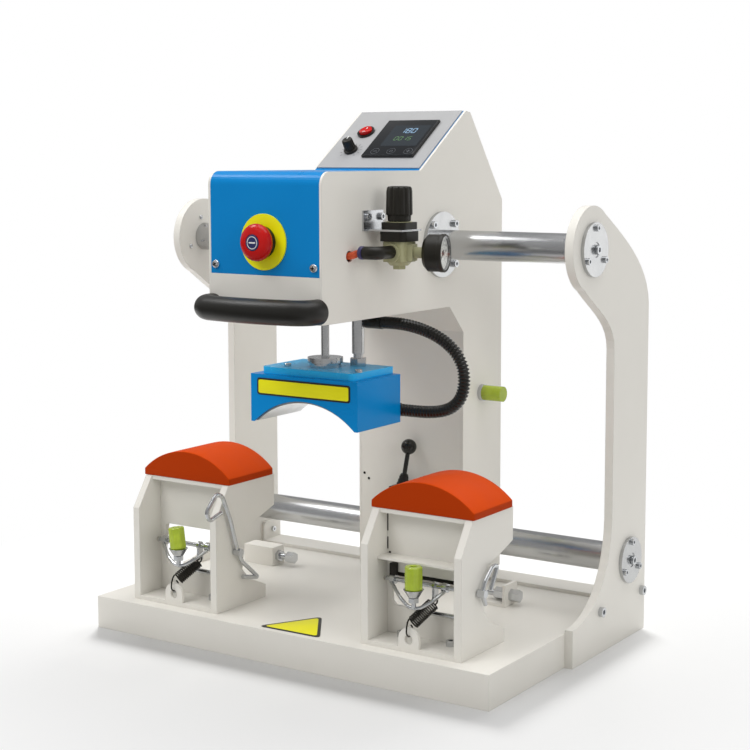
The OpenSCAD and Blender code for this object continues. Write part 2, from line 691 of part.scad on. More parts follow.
module control_panel() color(PANEL_GREY) on_panel([0, 0]) difference() {
    translate([-panel_w / 2, 3, 0]) cube([panel_w, panel_len - 4.5, panel_t]);
    panel_holes(-cut);
}
module panel_bezels() color(BLACK) {
    on_panel(display_at) translate([0, 0, panel_t]) difference() {
        translate([-35.5, -36.5, 0]) cube([71, 73, 3]);
        translate([-32, -33, 2]) cube([64, 66, 2]);
    }
    on_panel(rocker_at) translate([0, 0, panel_t]) difference() {
        cylinder(d = rocker_hole + 4, h = 2.5);
        translate([0, 0, -cut]) cylinder(d = rocker_hole, h = 6);
    }
}
// The rocker's face is a shallow V, so one half stands out while the other lies low
rocker_hole = 17.5;
rocker_d = rocker_hole - 1.4;
rocker_tilt = 7;
module rocker() color("red") on_panel(rocker_at) translate([0, 0, panel_t]) rotate([-rocker_tilt, 0, 0]) {
    intersection() {
        cylinder(d = rocker_d, h = 8);
        across(-rocker_d / 2, rocker_d) polygon([[-rocker_d / 2, 1.3], [-rocker_d / 2, 5], [0, 3.6],
            [rocker_d / 2, 5], [rocker_d / 2, 1.3]]);
    }
    // The pin that it tilts on
    rotate([0, 90, 0]) cylinder(d = 3, h = rocker_d - 3, center = true);
}
module panel_knob() color(BLACK) on_panel(knob_at) {
    translate([0, 0, -2]) cylinder(d = 6, h = 6);
    translate([0, 0, panel_t + 0.5]) cylinder(d = 17, h = 3);
    translate([0, 0, panel_t + 3.5]) cylinder(d1 = 14, d2 = 12, h = 13);
}

// Handle: a bowed bar with round corners that turn back to the head
grip_d = 27;
grip_half = 54;
grip_bow = 300;
grip_corner = 20;
grip_y = head_front - 28.5;
grip_z = 400;
bow_turn = asin(grip_half / grip_bow);
grip_end = [grip_half, grip_y + grip_bow * (1 - cos(bow_turn))];
corner_at = grip_end + grip_corner * [-sin(bow_turn), cos(bow_turn)];
module bend(c, r, from, to) translate([c[0], c[1], grip_z]) rotate([0, 0, from])
    rotate_extrude(angle = to - from, $fn = 96) translate([r, 0]) circle(d = grip_d, $fn = 40);
module handle() color(BLACK) on_base() translate([head_x, 0, 0]) {
    bend([0, grip_y + grip_bow], grip_bow, -90 - bow_turn, -90 + bow_turn);
    bend(corner_at, grip_corner, -90 + bow_turn, 0);
    mirror([1, 0, 0]) bend(corner_at, grip_corner, -90 + bow_turn, 0);
    for (s = [-1, 1]) translate([s * (corner_at[0] + grip_corner), head_front, grip_z])
        rotate([90, 0, 0]) cylinder(d = grip_d, h = head_front - corner_at[1], $fn = 40);
}

// Air cylinder with its threaded nose, and the bush of the guide rod
bore_d = 40;
barrel_d = 50;
nose_d = 16;
barrel_z = head_z + skin_t + 4;
barrel_h = 130;
guide_x = 27;
guide_y = press_y + 26;
bush_d = guide_d + 8;
module cylinder_body() color(STEEL) on_base() {
    translate([head_x, press_y, 0]) difference() {
        union() {
            translate([0, 0, barrel_z]) cylinder(d = barrel_d, h = barrel_h);
            translate([0, 0, head_z - 4]) cylinder(d = nose_d, h = barrel_z - head_z + 4);
            translate([0, 0, head_z - 4]) hex_head(nose_d + 3, 4);
            translate([0, 0, head_z + skin_t]) cylinder(d = barrel_d - 12, h = 4);
        }
        translate([0, 0, barrel_z + 8]) cylinder(d = bore_d + 2 * run_gap, h = barrel_h - 16);
        translate([0, 0, head_z - far / 2]) cylinder(d = rod_d + 2 * run_gap, h = far / 2 + 30);
    }
    translate([head_x + guide_x, guide_y, head_z - 3]) difference() {
        union() {
            cylinder(d = bush_d, h = 34);
            cylinder(d = bush_d + 5, h = 3);
        }
        translate([0, 0, -cut]) cylinder(d = guide_d + 2 * run_gap, h = 40);
    }
}

// Platen and what hangs it from the cylinder
platen_top = platen_z + platen_h;
plate_top = platen_top + top_plate_t;
stem_flange = 40;
rod_top = barrel_z + barrel_h - 12;
guide_top = head_z + press_stroke + 42;
module platen_rods() color(STEEL) on_base() {
    translate([head_x, press_y, 0]) {
        translate([0, 0, plate_top]) cylinder(d = stem_flange - 4, h = 5);
        translate([0, 0, plate_top + 5]) cylinder(d = stem_flange, h = 6);
        translate([0, 0, plate_top]) cylinder(d = rod_d, h = rod_top - plate_top);
        translate([0, 0, rod_top - 14]) cylinder(d = bore_d, h = 14);
    }
    translate([head_x + guide_x, guide_y, plate_top]) {
        translate([0, 0, 14]) cylinder(d = guide_d, h = guide_top - plate_top - 14);
        cylinder(d = 11, h = 14);
        hex_head(20, 9);
    }
}
plate_corner = 7;
module platen_top_plate() color(BLUE) on_base()
    translate([head_x - platen_w / 2 + 10, press_y - platen_d / 2 + 6, platen_top]) {
        translate([0, plate_corner, 0]) cube([platen_w - 20, platen_d - 6 - plate_corner, top_plate_t]);
        translate([plate_corner, 0, 0]) cube([platen_w - 20 - 2 * plate_corner, plate_corner, top_plate_t]);
        for (x = [plate_corner, platen_w - 20 - plate_corner]) translate([x, plate_corner, 0])
            cylinder(r = plate_corner, h = top_plate_t);
    }

arch_z = platen_z + arch_rise - arch_r;
cover_t = 2;
cover_gap = 1;
// The cover is a box round the shoe, with an arch cut out of its front and back
module platen_cover() color(BLUE) on_base() translate([head_x, press_y, 0]) difference() {
    translate([-platen_w / 2, -platen_d / 2, platen_z]) cube([platen_w, platen_d, platen_h]);
    translate([-platen_w / 2 + cover_t, -platen_d / 2 + cover_t, platen_z - cut])
        cube([platen_w - 2 * cover_t, platen_d - 2 * cover_t, platen_h - cover_t + cut]);
    translate([0, far / 2, arch_z]) rotate([90, 0, 0]) cylinder(r = arch_r + 2, h = far, $fn = 128);
}
module heater_shoe() color(STEEL) on_base() translate([head_x, press_y, 0]) intersection() {
    translate([-platen_w / 2 + cover_t + cover_gap, -platen_d / 2 + cover_t + cover_gap, platen_z + 1])
        cube([platen_w - 2 * cover_t - 2 * cover_gap, platen_d - 2 * cover_t - 2 * cover_gap,
            platen_h - cover_t - 1]);
    difference() {
        union() {
            translate([0, far / 2, arch_z]) rotate([90, 0, 0])
                cylinder(r = arch_r + shoe_t, h = far, $fn = 128);
            for (a = [-35, 35]) translate([a - 6, -20, platen_z]) cube([12, 40, platen_h]);
        }
        translate([0, far / 2, arch_z]) rotate([90, 0, 0]) cylinder(r = arch_r, h = far, $fn = 128);
    }
}

// Conduit from the head's underside to the rear of the platen, and its two elbows
conduit_out = 7.5;
conduit_y = press_y + platen_d / 2 + conduit_out;
gland_d = 17;
gland_x = 24;
gland_out = 20;
gland_end = head_x + gland_x + gland_out;
conduit_high = head_z - 12;
conduit_low = platen_z + 12.5;
platen_gland_x = 59;
low_out = 9;
low_end = head_x + platen_gland_x + low_out;
loop_x = 152;
loop_z = platen_z + 53;
elbow_body = conduit_d + 1.5;
// Space between the conduit's end and the platen's elbow, which are on different bodies
end_gap = 0.1;
run = conduit_d;
function flat(p) = [for (q = p) [q[0], conduit_y, q[1]]];
conduit_route = concat([[gland_end, conduit_high]],
    curve([gland_end + run, conduit_high], [gland_end + 52, conduit_high],
        [head_x + loop_x, loop_z + 43], [head_x + loop_x, loop_z], 20),
    [for (i = [1:20]) bez([head_x + loop_x, loop_z], [head_x + loop_x, loop_z - 39],
        [low_end + 50, conduit_low], [low_end + run, conduit_low], i / 20)],
    [[low_end, conduit_low]]);
// Distance run at each point of the route
route_run = [for (i = 0, s = 0; i < len(conduit_route); i = i + 1,
    s = s + (i < len(conduit_route) ? norm(conduit_route[i] - conduit_route[i - 1]) : 0)) s];
conduit_len = route_run[len(route_run) - 1];
function along(s) = [for (k = [0, 1])
    lookup(s, [for (i = [0:len(route_run) - 1]) [route_run[i], conduit_route[i][k]]])];
rib_count = floor((conduit_len - 2 * run) / rib_pitch);
rib_start = (conduit_len - rib_count * rib_pitch) / 2;
bore_steps = 30;
outer_path = flat(concat([along(0)], [for (i = [0:2 * rib_count]) along(rib_start + i * rib_pitch / 2)],
    [along(conduit_len)]));
outer_r = concat([conduit_d / 2], [for (i = [0:2 * rib_count])
    i % 2 == 0 ? conduit_d / 2 - 1 : conduit_d / 2], [conduit_d / 2]);
inner_path = flat([for (i = [0:bore_steps]) along(conduit_len * i / bore_steps)]);
inner_r = [for (i = [0:bore_steps]) conduit_bore / 2];
module conduit() color(BLACK) on_base() {
    n = len(outer_path);
    m = len(inner_path);
    b = n * 8;
    last = b + (m - 1) * 8;
    polyhedron(concat(rings(outer_path, outer_r, 8, [0, 1, 0]), rings(inner_path, inner_r, 8, [0, 1, 0])),
        concat(skin(0, n, 8, true), skin(b, m, 8, false),
            [for (k = [0:7]) let (l = (k + 1) % 8) each [[k, l, b + k], [l, b + l, b + k]]],
            [for (k = [0:7]) let (l = (k + 1) % 8, e = b - 8)
                each [[e + k, last + k, e + l], [e + l, last + k, last + l]]]));
}
echo(conduit_length = conduit_len, ribs = rib_count, loop_gap = conduit_high - conduit_low - conduit_d);

// An elbow: a round body and an outlet along X
module elbow(out) {
    sphere(d = elbow_body, $fn = 32);
    rotate([0, 90, 0]) cylinder(d = elbow_body, h = out);
}
module conduit_gland() color(BLACK) on_base() translate([head_x + gland_x, conduit_y, conduit_high]) {
    elbow(gland_out);
    cylinder(d = elbow_body, h = 6);
    cylinder(d = gland_d - 0.5, h = head_z + skin_t + 3 - conduit_high);
    translate([0, 0, head_z - conduit_high - 4]) hex_head(gland_d + 5, 4);
}
module platen_gland() color(BLACK) on_base()
    translate([head_x + platen_gland_x, conduit_y, conduit_low]) difference() {
        union() {
            elbow(low_out - end_gap);
            rotate([90, 0, 0]) cylinder(d = 6, h = conduit_out);
        }
        translate([-far / 2, -far - conduit_out, -far / 2]) cube([far, far, far]);
    }

// Regulator on its bracket, with the gauge and the hose to the head
leg_t = 2;
reg_x = side_right + reg_out;
neck_d = 28;
module regulator_bracket() color(STEEL) on_base() difference() {
    union() {
        translate([side_right, reg_y - 27, reg_z - 1]) cube([leg_t, 38, 22]);
        translate([side_right, reg_y - 22, reg_z - 1]) cube([reg_out + 18, 38, leg_t]);
    }
    translate([reg_x, reg_y, reg_z - 3]) cylinder(d = neck_d + 0.4, h = 6);
}
body_top = reg_z - 1;
module regulator_body() color("darkkhaki") on_base() translate([reg_x, reg_y, 0]) {
    translate([0, 0, body_top - 11]) cylinder(d = neck_d, h = 21);
    translate([0, 0, body_top - 33]) rounded_block(body_w, body_depth, 22, 4);
    translate([0, 0, body_top - 37]) cylinder(d1 = 20, d2 = body_w, h = 4);
    translate([0, 0, body_top - 41]) hex_head(15, 5);
    for (s = [-1, 1]) translate([0, s * body_depth / 2, gauge_z]) rotate([-90 * s, 0, 0])
        cylinder(d = 20, h = port_t);
    rotate([0, 0, gauge_angle]) {
        translate([0, -9, gauge_z - 9]) cube([body_w / 2 + 4, 18, 18]);
        translate([0, 0, gauge_z]) rotate([0, 90, 0]) cylinder(d = 12, h = gauge_near);
    }
}
body_w = 27;
body_depth = 28;
port_t = 3;
module rounded_block(w, d, h, r) {
    translate([r - w / 2, -d / 2, 0]) cube([w - 2 * r, d, h]);
    translate([-w / 2, r - d / 2, 0]) cube([w, d - 2 * r, h]);
    for (x = [-1, 1]) for (y = [-1, 1]) translate([x * (w / 2 - r), y * (d / 2 - r), 0])
        cylinder(r = r, h = h);
}
// Clamping rings above and below the bracket
module regulator_rings() color(BLACK) on_base() translate([reg_x, reg_y, 0]) difference() {
    union() {
        translate([0, 0, reg_z + 1]) rounded_block(31, 31, 7.5, 6);
        translate([0, 0, body_top - 11]) rounded_block(33, 33, 11, 6);
    }
    translate([0, 0, body_top - 11 - cut]) cylinder(d = neck_d, h = 30);
}
module regulator_knob() color(BLACK) on_base() translate([reg_x, reg_y, reg_z + 9.5]) {
    cylinder(d = reg_knob_d - 4, h = 6);
    translate([0, 0, 6]) for (a = [0:15:345]) rotate([0, 0, a])
        translate([reg_knob_d / 2 - 1, 0, 0]) cylinder(d = 2, h = 29, $fn = 16);
    translate([0, 0, 6]) cylinder(d = reg_knob_d - 2, h = 31.5);
}

gauge_z = body_top - 23;
gauge_near = 30;
gauge_len = 22;
module on_gauge(s) on_base() translate([reg_x, reg_y, gauge_z]) rotate([0, 0, gauge_angle])
    rotate([0, 90, 0]) translate([0, 0, s]) children();
module gauge_case() color(BLACK) on_gauge(gauge_near) difference() {
    union() {
        cylinder(d1 = gauge_d - 8, d2 = gauge_d, h = 4);
        translate([0, 0, 4]) cylinder(d = gauge_d, h = gauge_len - 4);
    }
    translate([0, 0, gauge_len - 4]) cylinder(d = gauge_d - 4, h = 5);
    translate([0, 0, gauge_len - 8]) cylinder(d = 2.1, h = 9);
}
// Without pressure the needle points down and towards the front
module gauge_needle() color("red") on_gauge(gauge_near + gauge_len - 6) {
    cylinder(d = 2, h = 4);
    translate([0, 0, 2.5]) cylinder(d = 5, h = 1);
    rotate([0, 0, -45]) translate([-4, -0.5, 2.5]) cube([18, 1, 0.6]);
}

// Elbow on the front of the regulator, and the hose from it to the head
elbow_y = 27;
elbow_r = 9;
elbow_d = 14;
elbow_z = gauge_z + 1;
collar_x = reg_x - elbow_r - 8;
module air_elbow() color(BLACK) on_base() {
    translate([reg_x, elbow_y + elbow_r, elbow_z]) rotate([-90, 0, 0])
        cylinder(d = elbow_d, h = reg_y - body_depth / 2 - port_t - elbow_y - elbow_r);
    translate([reg_x - elbow_r, elbow_y + elbow_r, elbow_z]) rotate([0, 0, -90])
        rotate_extrude(angle = 90, $fn = 96) translate([elbow_r, 0]) circle(d = elbow_d, $fn = 40);
    translate([reg_x - elbow_r - 5, elbow_y, elbow_z]) rotate([0, 90, 0]) cylinder(d = elbow_d, h = 5);
    translate([collar_x, elbow_y, elbow_z]) rotate([0, 90, 0]) cylinder(d = elbow_d - 3, h = 3);
}
hose_in = [side_right - 8, hose_hole_y, hose_hole_z];
hose_route = curve([collar_x, elbow_y, elbow_z], [collar_x - 10, elbow_y, elbow_z],
    hose_in + [16, 0, 0], hose_in, 10);
module air_tube() color("darkorange") on_base() tube(hose_route, hose_d / 2, 12, [0, 0, 1]);

// Lever valve on the column with a ball and a rubber boot
valve_x = -14;
valve_z = 163;
valve_out = 26;
stem_lean = 10.5;
module valve_block() color(BLACK) on_base() translate([head_x + valve_x, column_y - valve_out, valve_z - 62]) {
    difference() {
        union() {
            cube([24, valve_out, 60]);
            translate([4, 0, 10]) cube([16, valve_out + 14, 20]);
        }
        translate([12, 12, 48]) cylinder(d = 12, h = 20);
    }
}
module valve_lever() color(BLACK) on_base()
    translate([head_x + valve_x + 12, column_y - valve_out + 12, valve_z - 2]) rotate([0, stem_lean, 0]) {
        for (i = [0:2]) translate([0, 0, 2 + i * 4.3])
            cylinder(d1 = 16 - 2 * i, d2 = 12 - 1.5 * i, h = 4.3);
        rotate([90, 0, 0]) cylinder(d = 5.5, h = 10, center = true);
        translate([0, 0, -6]) cylinder(d = 5.5, h = 54);
        translate([0, 0, 50]) sphere(d = 19, $fn = 48);
    }

// Solenoid valve inside the head
module solenoid_valve() color(STEEL) on_base() translate([head_x - 60, 10, head_z + skin_t]) {
    cube([28, 60, 30]);
    translate([2, 64, 0]) cube([24, 30, 40]);
    translate([2, 60, 0]) cube([24, 4, 20]);
}

base_tray();
rear_tie_plate();
left_end_plate();
right_end_plate();
upper_shaft();
lower_shaft();
shaft_end_discs();
frame_screws();
stop_blocks();
left_form_sides();
right_form_sides();
left_form_bridge();
right_form_bridge();
form_feet();
form_cross_rods();
left_pad();
right_pad();
left_clamp_wire();
right_clamp_wire();
left_clamp_stirrup();
right_clamp_stirrup();
left_bumper();
right_bumper();
left_spring();
right_spring();
head_side_left();
head_side_right();
front_cover();
rear_cover();
column_front_cover();
head_bottom_plate();
shaft_bearings();
travel_buffers();
head_fixings();
estop_ring();
estop_button();
control_panel();
panel_bezels();
rocker();
panel_knob();
handle();
cylinder_body();
platen_rods();
platen_top_plate();
platen_cover();
heater_shoe();
conduit();
conduit_gland();
platen_gland();
regulator_bracket();
regulator_body();
regulator_rings();
regulator_knob();
gauge_case();
gauge_needle();
air_elbow();
air_tube();
valve_block();
valve_lever();
solenoid_valve();
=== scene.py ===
import json
import math

import bmesh
import bpy
from mathutils import Matrix, Vector


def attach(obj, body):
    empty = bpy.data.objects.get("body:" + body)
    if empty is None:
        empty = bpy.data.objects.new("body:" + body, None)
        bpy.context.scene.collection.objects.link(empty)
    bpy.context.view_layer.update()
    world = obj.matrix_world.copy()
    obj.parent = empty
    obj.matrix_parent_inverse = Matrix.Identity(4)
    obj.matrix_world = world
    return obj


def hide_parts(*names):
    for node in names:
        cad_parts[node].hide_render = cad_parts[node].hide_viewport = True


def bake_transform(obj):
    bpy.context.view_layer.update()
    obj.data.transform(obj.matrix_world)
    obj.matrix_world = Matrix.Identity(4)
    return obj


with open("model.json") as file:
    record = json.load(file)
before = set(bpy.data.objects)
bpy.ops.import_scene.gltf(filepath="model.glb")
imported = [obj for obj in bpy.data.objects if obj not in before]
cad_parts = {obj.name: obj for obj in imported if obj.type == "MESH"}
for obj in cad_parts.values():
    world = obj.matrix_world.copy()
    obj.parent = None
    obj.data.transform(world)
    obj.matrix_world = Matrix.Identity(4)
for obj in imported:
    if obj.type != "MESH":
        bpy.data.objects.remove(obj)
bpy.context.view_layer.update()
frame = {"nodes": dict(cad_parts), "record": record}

# Sizes below are in millimetres, with Y measured from the front edge of the base.
BASE_D = 355
MM = 0.001
X, Y, Z = Vector((1, 0, 0)), Vector((0, 1, 0)), Vector((0, 0, 1))


def at(x, y, z):
    """A point of the press in the frame's metres."""
    return Vector((x, y - BASE_D / 2, z)) * MM


def stand(origin, up=Z, side=X):
    """The place of a piece that is drawn in millimetres round its own centre, with its Z along up."""
    up = Vector(up).normalized()
    side = (Vector(side) - up * up.dot(side)).normalized()
    turn = Matrix((side, up.cross(side), up)).transposed().to_4x4()
    return Matrix.Translation(at(*origin)) @ turn @ Matrix.Scale(MM, 4)


# Camera: a long lens from the right of the front, just above the level of the head's cover
VIEW_PX = 750
FOCAL_PX = 1587.8
CENTRE_PX = (407.2, 324.9)
CAMERA_AT = (1050.5, -1356.5, 560)
CAMERA_DIP, CAMERA_TURN = 6.02, 32.95
lens = bpy.data.cameras.new("camera")
lens.sensor_width = 36
lens.sensor_fit = "HORIZONTAL"
lens.lens = lens.sensor_width * FOCAL_PX / VIEW_PX
lens.shift_x = (VIEW_PX / 2 - CENTRE_PX[0]) / VIEW_PX
lens.shift_y = (CENTRE_PX[1] - VIEW_PX / 2) / VIEW_PX
lens.clip_end = 50
camera = bpy.data.objects.new("camera", lens)
camera.location = at(*CAMERA_AT)
camera.rotation_euler = (math.radians(90 - CAMERA_DIP), 0, math.radians(CAMERA_TURN))
bpy.context.scene.collection.objects.link(camera)
bpy.context.scene.camera = camera


# Materials

def linear(code):
    """An sRGB hex colour as linear red, green, blue and alpha."""
    parts = [int(code[i:i + 2], 16) / 255 for i in (1, 3, 5)]
    return [c / 12.92 if c <= 0.04045 else ((c + 0.055) / 1.055) ** 2.4 for c in parts] + [1]


def add(tree, kind, inputs=None, **settings):
    """Adds a node, with its settings and with its inputs set or linked."""
    made = tree.nodes.new("ShaderNode" + kind)
    for name, value in settings.items():
        setattr(made, name, value)
    for name, value in (inputs or {}).items():
        if isinstance(value, bpy.types.NodeSocket):
            tree.links.new(value, made.inputs[name])
        else:
            made.inputs[name].default_value = value
    return made


def blank(name, **shader):
    """A new material with its Principled shader's constant sockets set."""
    made = bpy.data.materials.new(name)
    made.use_nodes = True
    principled = made.node_tree.nodes["Principled BSDF"]
    for socket, value in shader.items():
        socket = socket.replace("_", " ")
        principled.inputs[socket].default_value = linear(value) if isinstance(value, str) else value
    return made, made.node_tree, principled


def surface(name, dark, light, rough, patch, grain, depth, edge=0.5, stretch=(1, 1, 1), **shader):
    """A surface whose colour and gloss drift over patches, with a fine relief and softened edges.

    patch, grain, depth and edge are real sizes in millimetres, and rough is the gloss's two ends.
    """
    made, tree, principled = blank(name, **shader)
    place = add(tree, "TexCoord").outputs["Object"]
    if stretch != (1, 1, 1):
        place = add(tree, "Mapping", {"Vector": place, "Scale": stretch}).outputs["Vector"]
    drift = add(tree, "TexNoise", {"Vector": place, "Scale": 1 / (patch * MM), "Detail": 4})
    colour = add(tree, "Mix", {"Factor": drift.outputs["Fac"]}, data_type="RGBA")
    colour.inputs[6].default_value = linear(dark)
    colour.inputs[7].default_value = linear(light)
    tree.links.new(colour.outputs[2], principled.inputs["Base Color"])
    gloss = add(tree, "MapRange", {"Value": drift.outputs["Fac"], "From Min": 0.3, "From Max": 0.7,
                                   "To Min": rough[0], "To Max": rough[1]})
    tree.links.new(gloss.outputs["Result"], principled.inputs["Roughness"])
    relief = add(tree, "TexNoise", {"Vector": place, "Scale": 1 / (grain * MM), "Detail": 2})
    corner = add(tree, "Bevel", {"Radius": edge * MM}, samples=4)
    bump = add(tree, "Bump", {"Height": relief.outputs["Fac"], "Distance": depth * MM,
                              "Normal": corner.outputs["Normal"]})
    tree.links.new(bump.outputs["Normal"], principled.inputs["Normal"])
    return made


def silicone(name, sides, dark, light):
    """Moulded rubber, painted paler where it faces up: painted light on the crown and painted shade on the
    sides.
    """
    made = surface(name, dark, light, (0.5, 0.62), 30, 0.9, 0.05, edge=0.8, IOR=1.41,
                   Specular_IOR_Level=0.1)
    tree = made.node_tree
    principled = tree.nodes["Principled BSDF"]
    crown = principled.inputs["Base Color"].links[0].from_socket
    # Painted light: the colour goes from the shaded sides' orange to the lit crown's as the face turns up
    facing = add(tree, "SeparateXYZ", {"Vector": add(tree, "NewGeometry").outputs["Normal"]})
    painted_top_light = add(tree, "MapRange", {"Value": facing.outputs["Z"], "From Min": 0.1, "From Max": 0.75})
    colour = add(tree, "Mix", {"Factor": painted_top_light.outputs["Result"]}, data_type="RGBA")
    colour.inputs[6].default_value = linear(sides)
    tree.links.new(crown, colour.inputs[7])
    tree.links.new(colour.outputs[2], principled.inputs["Base Color"])
    return made


def turned(name, dark, light, rough, pitch, depth, axis="X", patch=9, edge=0.4, **shader):
    """Metal cut on a lathe: fine rings round its axis draw every reflection out along the axis.

    pitch, depth, patch and edge are in millimetres, and one ring takes about six times pitch.
    """
    made, tree, principled = blank(name, Metallic=1, **shader)
    ring = add(tree, "Tangent", direction_type="RADIAL", axis=axis)
    tree.links.new(ring.outputs["Tangent"], principled.inputs["Tangent"])
    place = add(tree, "TexCoord").outputs["Object"]
    bands = add(tree, "TexWave", {"Vector": place, "Scale": 1 / (20 * pitch * MM), "Distortion": 1.5,
                                  "Detail": 3, "Detail Scale": 4}, bands_direction=axis)
    cloud = add(tree, "TexNoise", {"Vector": place, "Scale": 1 / (patch * MM), "Detail": 3})
    colour = add(tree, "Mix", {"Factor": cloud.outputs["Fac"]}, data_type="RGBA")
    colour.inputs[6].default_value = linear(dark)
    colour.inputs[7].default_value = linear(light)
    tree.links.new(colour.outputs[2], principled.inputs["Base Color"])
    gloss = add(tree, "MapRange", {"Value": bands.outputs["Fac"], "To Min": rough[0], "To Max": rough[1]})
    tree.links.new(gloss.outputs["Result"], principled.inputs["Roughness"])
    corner = add(tree, "Bevel", {"Radius": edge * MM}, samples=4)
    bump = add(tree, "Bump", {"Height": bands.outputs["Fac"], "Distance": depth * MM,
                              "Normal": corner.outputs["Normal"]})
    tree.links.new(bump.outputs["Normal"], principled.inputs["Normal"])
    return made


def cellular(name, dark, light, cell, depth, rough, **shader):
    """Foam rubber with a skin of small closed cells, whose size and depth are in millimetres."""
    made, tree, principled = blank(name, Roughness=rough, **shader)
    place = add(tree, "TexCoord").outputs["Object"]
    cells = add(tree, "TexVoronoi", {"Vector": place, "Scale": 1 / (cell * MM)})
    colour = add(tree, "Mix", {"Factor": cells.outputs["Distance"]}, data_type="RGBA")
    colour.inputs[6].default_value = linear(dark)
    colour.inputs[7].default_value = linear(light)
    tree.links.new(colour.outputs[2], principled.inputs["Base Color"])
    bump = add(tree, "Bump", {"Height": cells.outputs["Distance"], "Distance": depth * MM})
    tree.links.new(bump.outputs["Normal"], principled.inputs["Normal"])
    return made


finish = {
    # Powder coat on sheet steel: baked polyester that levels into a faint orange peel, about 2 mm
    # across, with a satin gloss and slightly rounded edges.
    "white_powder_coat": surface("white_powder_coat", "#DFDCD4", "#E6E3DC", (0.3, 0.4), 60, 2.2, 0.05,
                                 edge=1, IOR=1.5, Specular_IOR_Level=0.35),
    # The same coat in gloss blue: a clear shine with long soft highlights on the bends.
    "blue_powder_coat": surface("blue_powder_coat", "#007BC0", "#0084CA", (0.26, 0.34), 60, 2.4, 0.04,
                                edge=1, IOR=1.5, Specular_IOR_Level=0.18),
    # Ground and hard chromed shaft: near mirror, with hair-fine grinding rings along it.
    "hard_chrome": turned("hard_chrome", "#C0C1C3", "#CACBCC", (0.2, 0.26), 0.5, 0.002, Anisotropic=0.85),
    # Lathe-turned bright steel: satin rings.
    "turned_steel": turned("turned_steel", "#B8B9BA", "#C8C9C9", (0.2, 0.28), 0.4, 0.004),
    # Zinc plated screws and wire: cool grey, faintly cloudy.
    "zinc_plate": surface("zinc_plate", "#C0C2C5", "#CFD1D3", (0.2, 0.27), 30, 0.8, 0.004, edge=0.4,
                          Metallic=1),
    # Sand cast aluminium: matt, with a grain of about 1 mm.
    "cast_aluminium": surface("cast_aluminium", "#A9AAAB", "#BEBFC0", (0.4, 0.55), 12, 1.0, 0.08,
                              Metallic=1),
    # Milled heater plate: drawn grey with fine cutter lines across it.
    "heater_aluminium": surface("heater_aluminium", "#C4C5C6", "#D9DADA", (0.28, 0.4), 20, 0.9, 0.02,
                                stretch=(1, 6, 1), Metallic=1),
    # Moulded silicone rubber: matt saturated orange with a fine mould grain. The crown is painted paler
    # where it faces up as painted light, and the sides keep a deeper orange as painted shade.
    "orange_silicone": silicone("orange_silicone", "#AE3702", "#C84105", "#D24908"),
    # Cast polyurethane: clear lime, glossy and slightly cloudy inside.
    "lime_polyurethane": surface("lime_polyurethane", "#BCD038", "#CCE04E", (0.14, 0.24), 8, 2, 0.03,
                                 IOR=1.5, Transmission_Weight=0.4),
    # Foam rubber grip: closed cells under half a millimetre, drawn 0.9 mm so that they show.
    "black_rubber": cellular("black_rubber", "#0E0D0A", "#191711", 0.9, 0.05, 0.4, IOR=1.5,
                             Specular_IOR_Level=0.5),
    # Moulded nylon: black with a spark-eroded texture.
    "black_plastic": surface("black_plastic", "#15130E", "#201D15", (0.36, 0.46), 15, 0.6, 0.04, edge=0.3,
                             IOR=1.53, Specular_IOR_Level=0.35),
    # Polished ABS: black and shiny.
    "black_gloss_plastic": surface("black_gloss_plastic", "#13120F", "#1C1B17", (0.16, 0.24), 20, 3, 0.01,
                                   edge=0.3, IOR=1.53, Specular_IOR_Level=0.4),
    # Oiled spring steel: black oxide with dull grey wear.
    "black_steel": surface("black_steel", "#2C2A26", "#403D38", (0.28, 0.4), 5, 0.6, 0.02, edge=0.2,
                           Metallic=0.8),
    # Printed polyester film: pale grey with a fine etched surface.
    "panel_film": surface("panel_film", "#A0A0A1", "#AAAAAA", (0.4, 0.5), 40, 0.7, 0.02, edge=0.2, IOR=1.57,
                          Specular_IOR_Level=0.3),
    # Moulded yellow ABS, satin.
    "yellow_plastic": surface("yellow_plastic", "#EEEA08", "#F5F214", (0.32, 0.42), 20, 1.2, 0.02, IOR=1.53,
                              Specular_IOR_Level=0.3),
    # Moulded red polycarbonate with a clear gloss.
    "red_plastic": surface("red_plastic", "#B40806", "#C40E0A", (0.18, 0.28), 15, 2, 0.02, IOR=1.58,
                           Specular_IOR_Level=0.3),
    # Zinc die casting, lacquered khaki: slightly pitted.
    "khaki_die_cast": surface("khaki_die_cast", "#A09E78", "#B0AE8A", (0.35, 0.5), 10, 1.2, 0.1, edge=0.8,
                              IOR=1.5, Specular_IOR_Level=0.35),
    # Polyurethane air tube: orange, glossy and a little clear.
    "orange_tubing": surface("orange_tubing", "#DB5328", "#E8643A", (0.15, 0.22), 12, 3, 0.01, edge=0.2,
                             IOR=1.5, Transmission_Weight=0.2),
}

# Finishes of single parts, and of the small ones that are only drawn here

# Blue coat of the platen's top plate, painted lighter than its cover as painted light on the top face.
top_lit_blue_coat = surface("top_lit_blue_coat", "#22B4EE", "#2ABCF6", (0.24, 0.32), 60, 2.4, 0.04, edge=1,
                         IOR=1.5, Specular_IOR_Level=0.3)
# Blue coat of the platen's cover, painted a little lighter and clearer than the head's as painted light.
lightened_blue_coat = surface("lightened_blue_coat", "#0082C9", "#008BD4", (0.26, 0.34), 60, 2.4, 0.04, edge=1,
                          IOR=1.5, Specular_IOR_Level=0.15)
# Nickel plated cover screws, satin, with the colour painted near white as painted reflection so that they
# show bright.
whitened_nickel = surface("whitened_nickel", "#EDEDEC", "#F6F6F5", (0.16, 0.24), 12, 1.2, 0.004, edge=0.2,
                        Metallic=1)
# Hard chrome of the upright rods: the grinding rings run round a standing axis.
rod_chrome = turned("rod_chrome", "#C8C9CB", "#D4D5D6", (0.14, 0.2), 0.5, 0.002, axis="Z", Anisotropic=0.8)
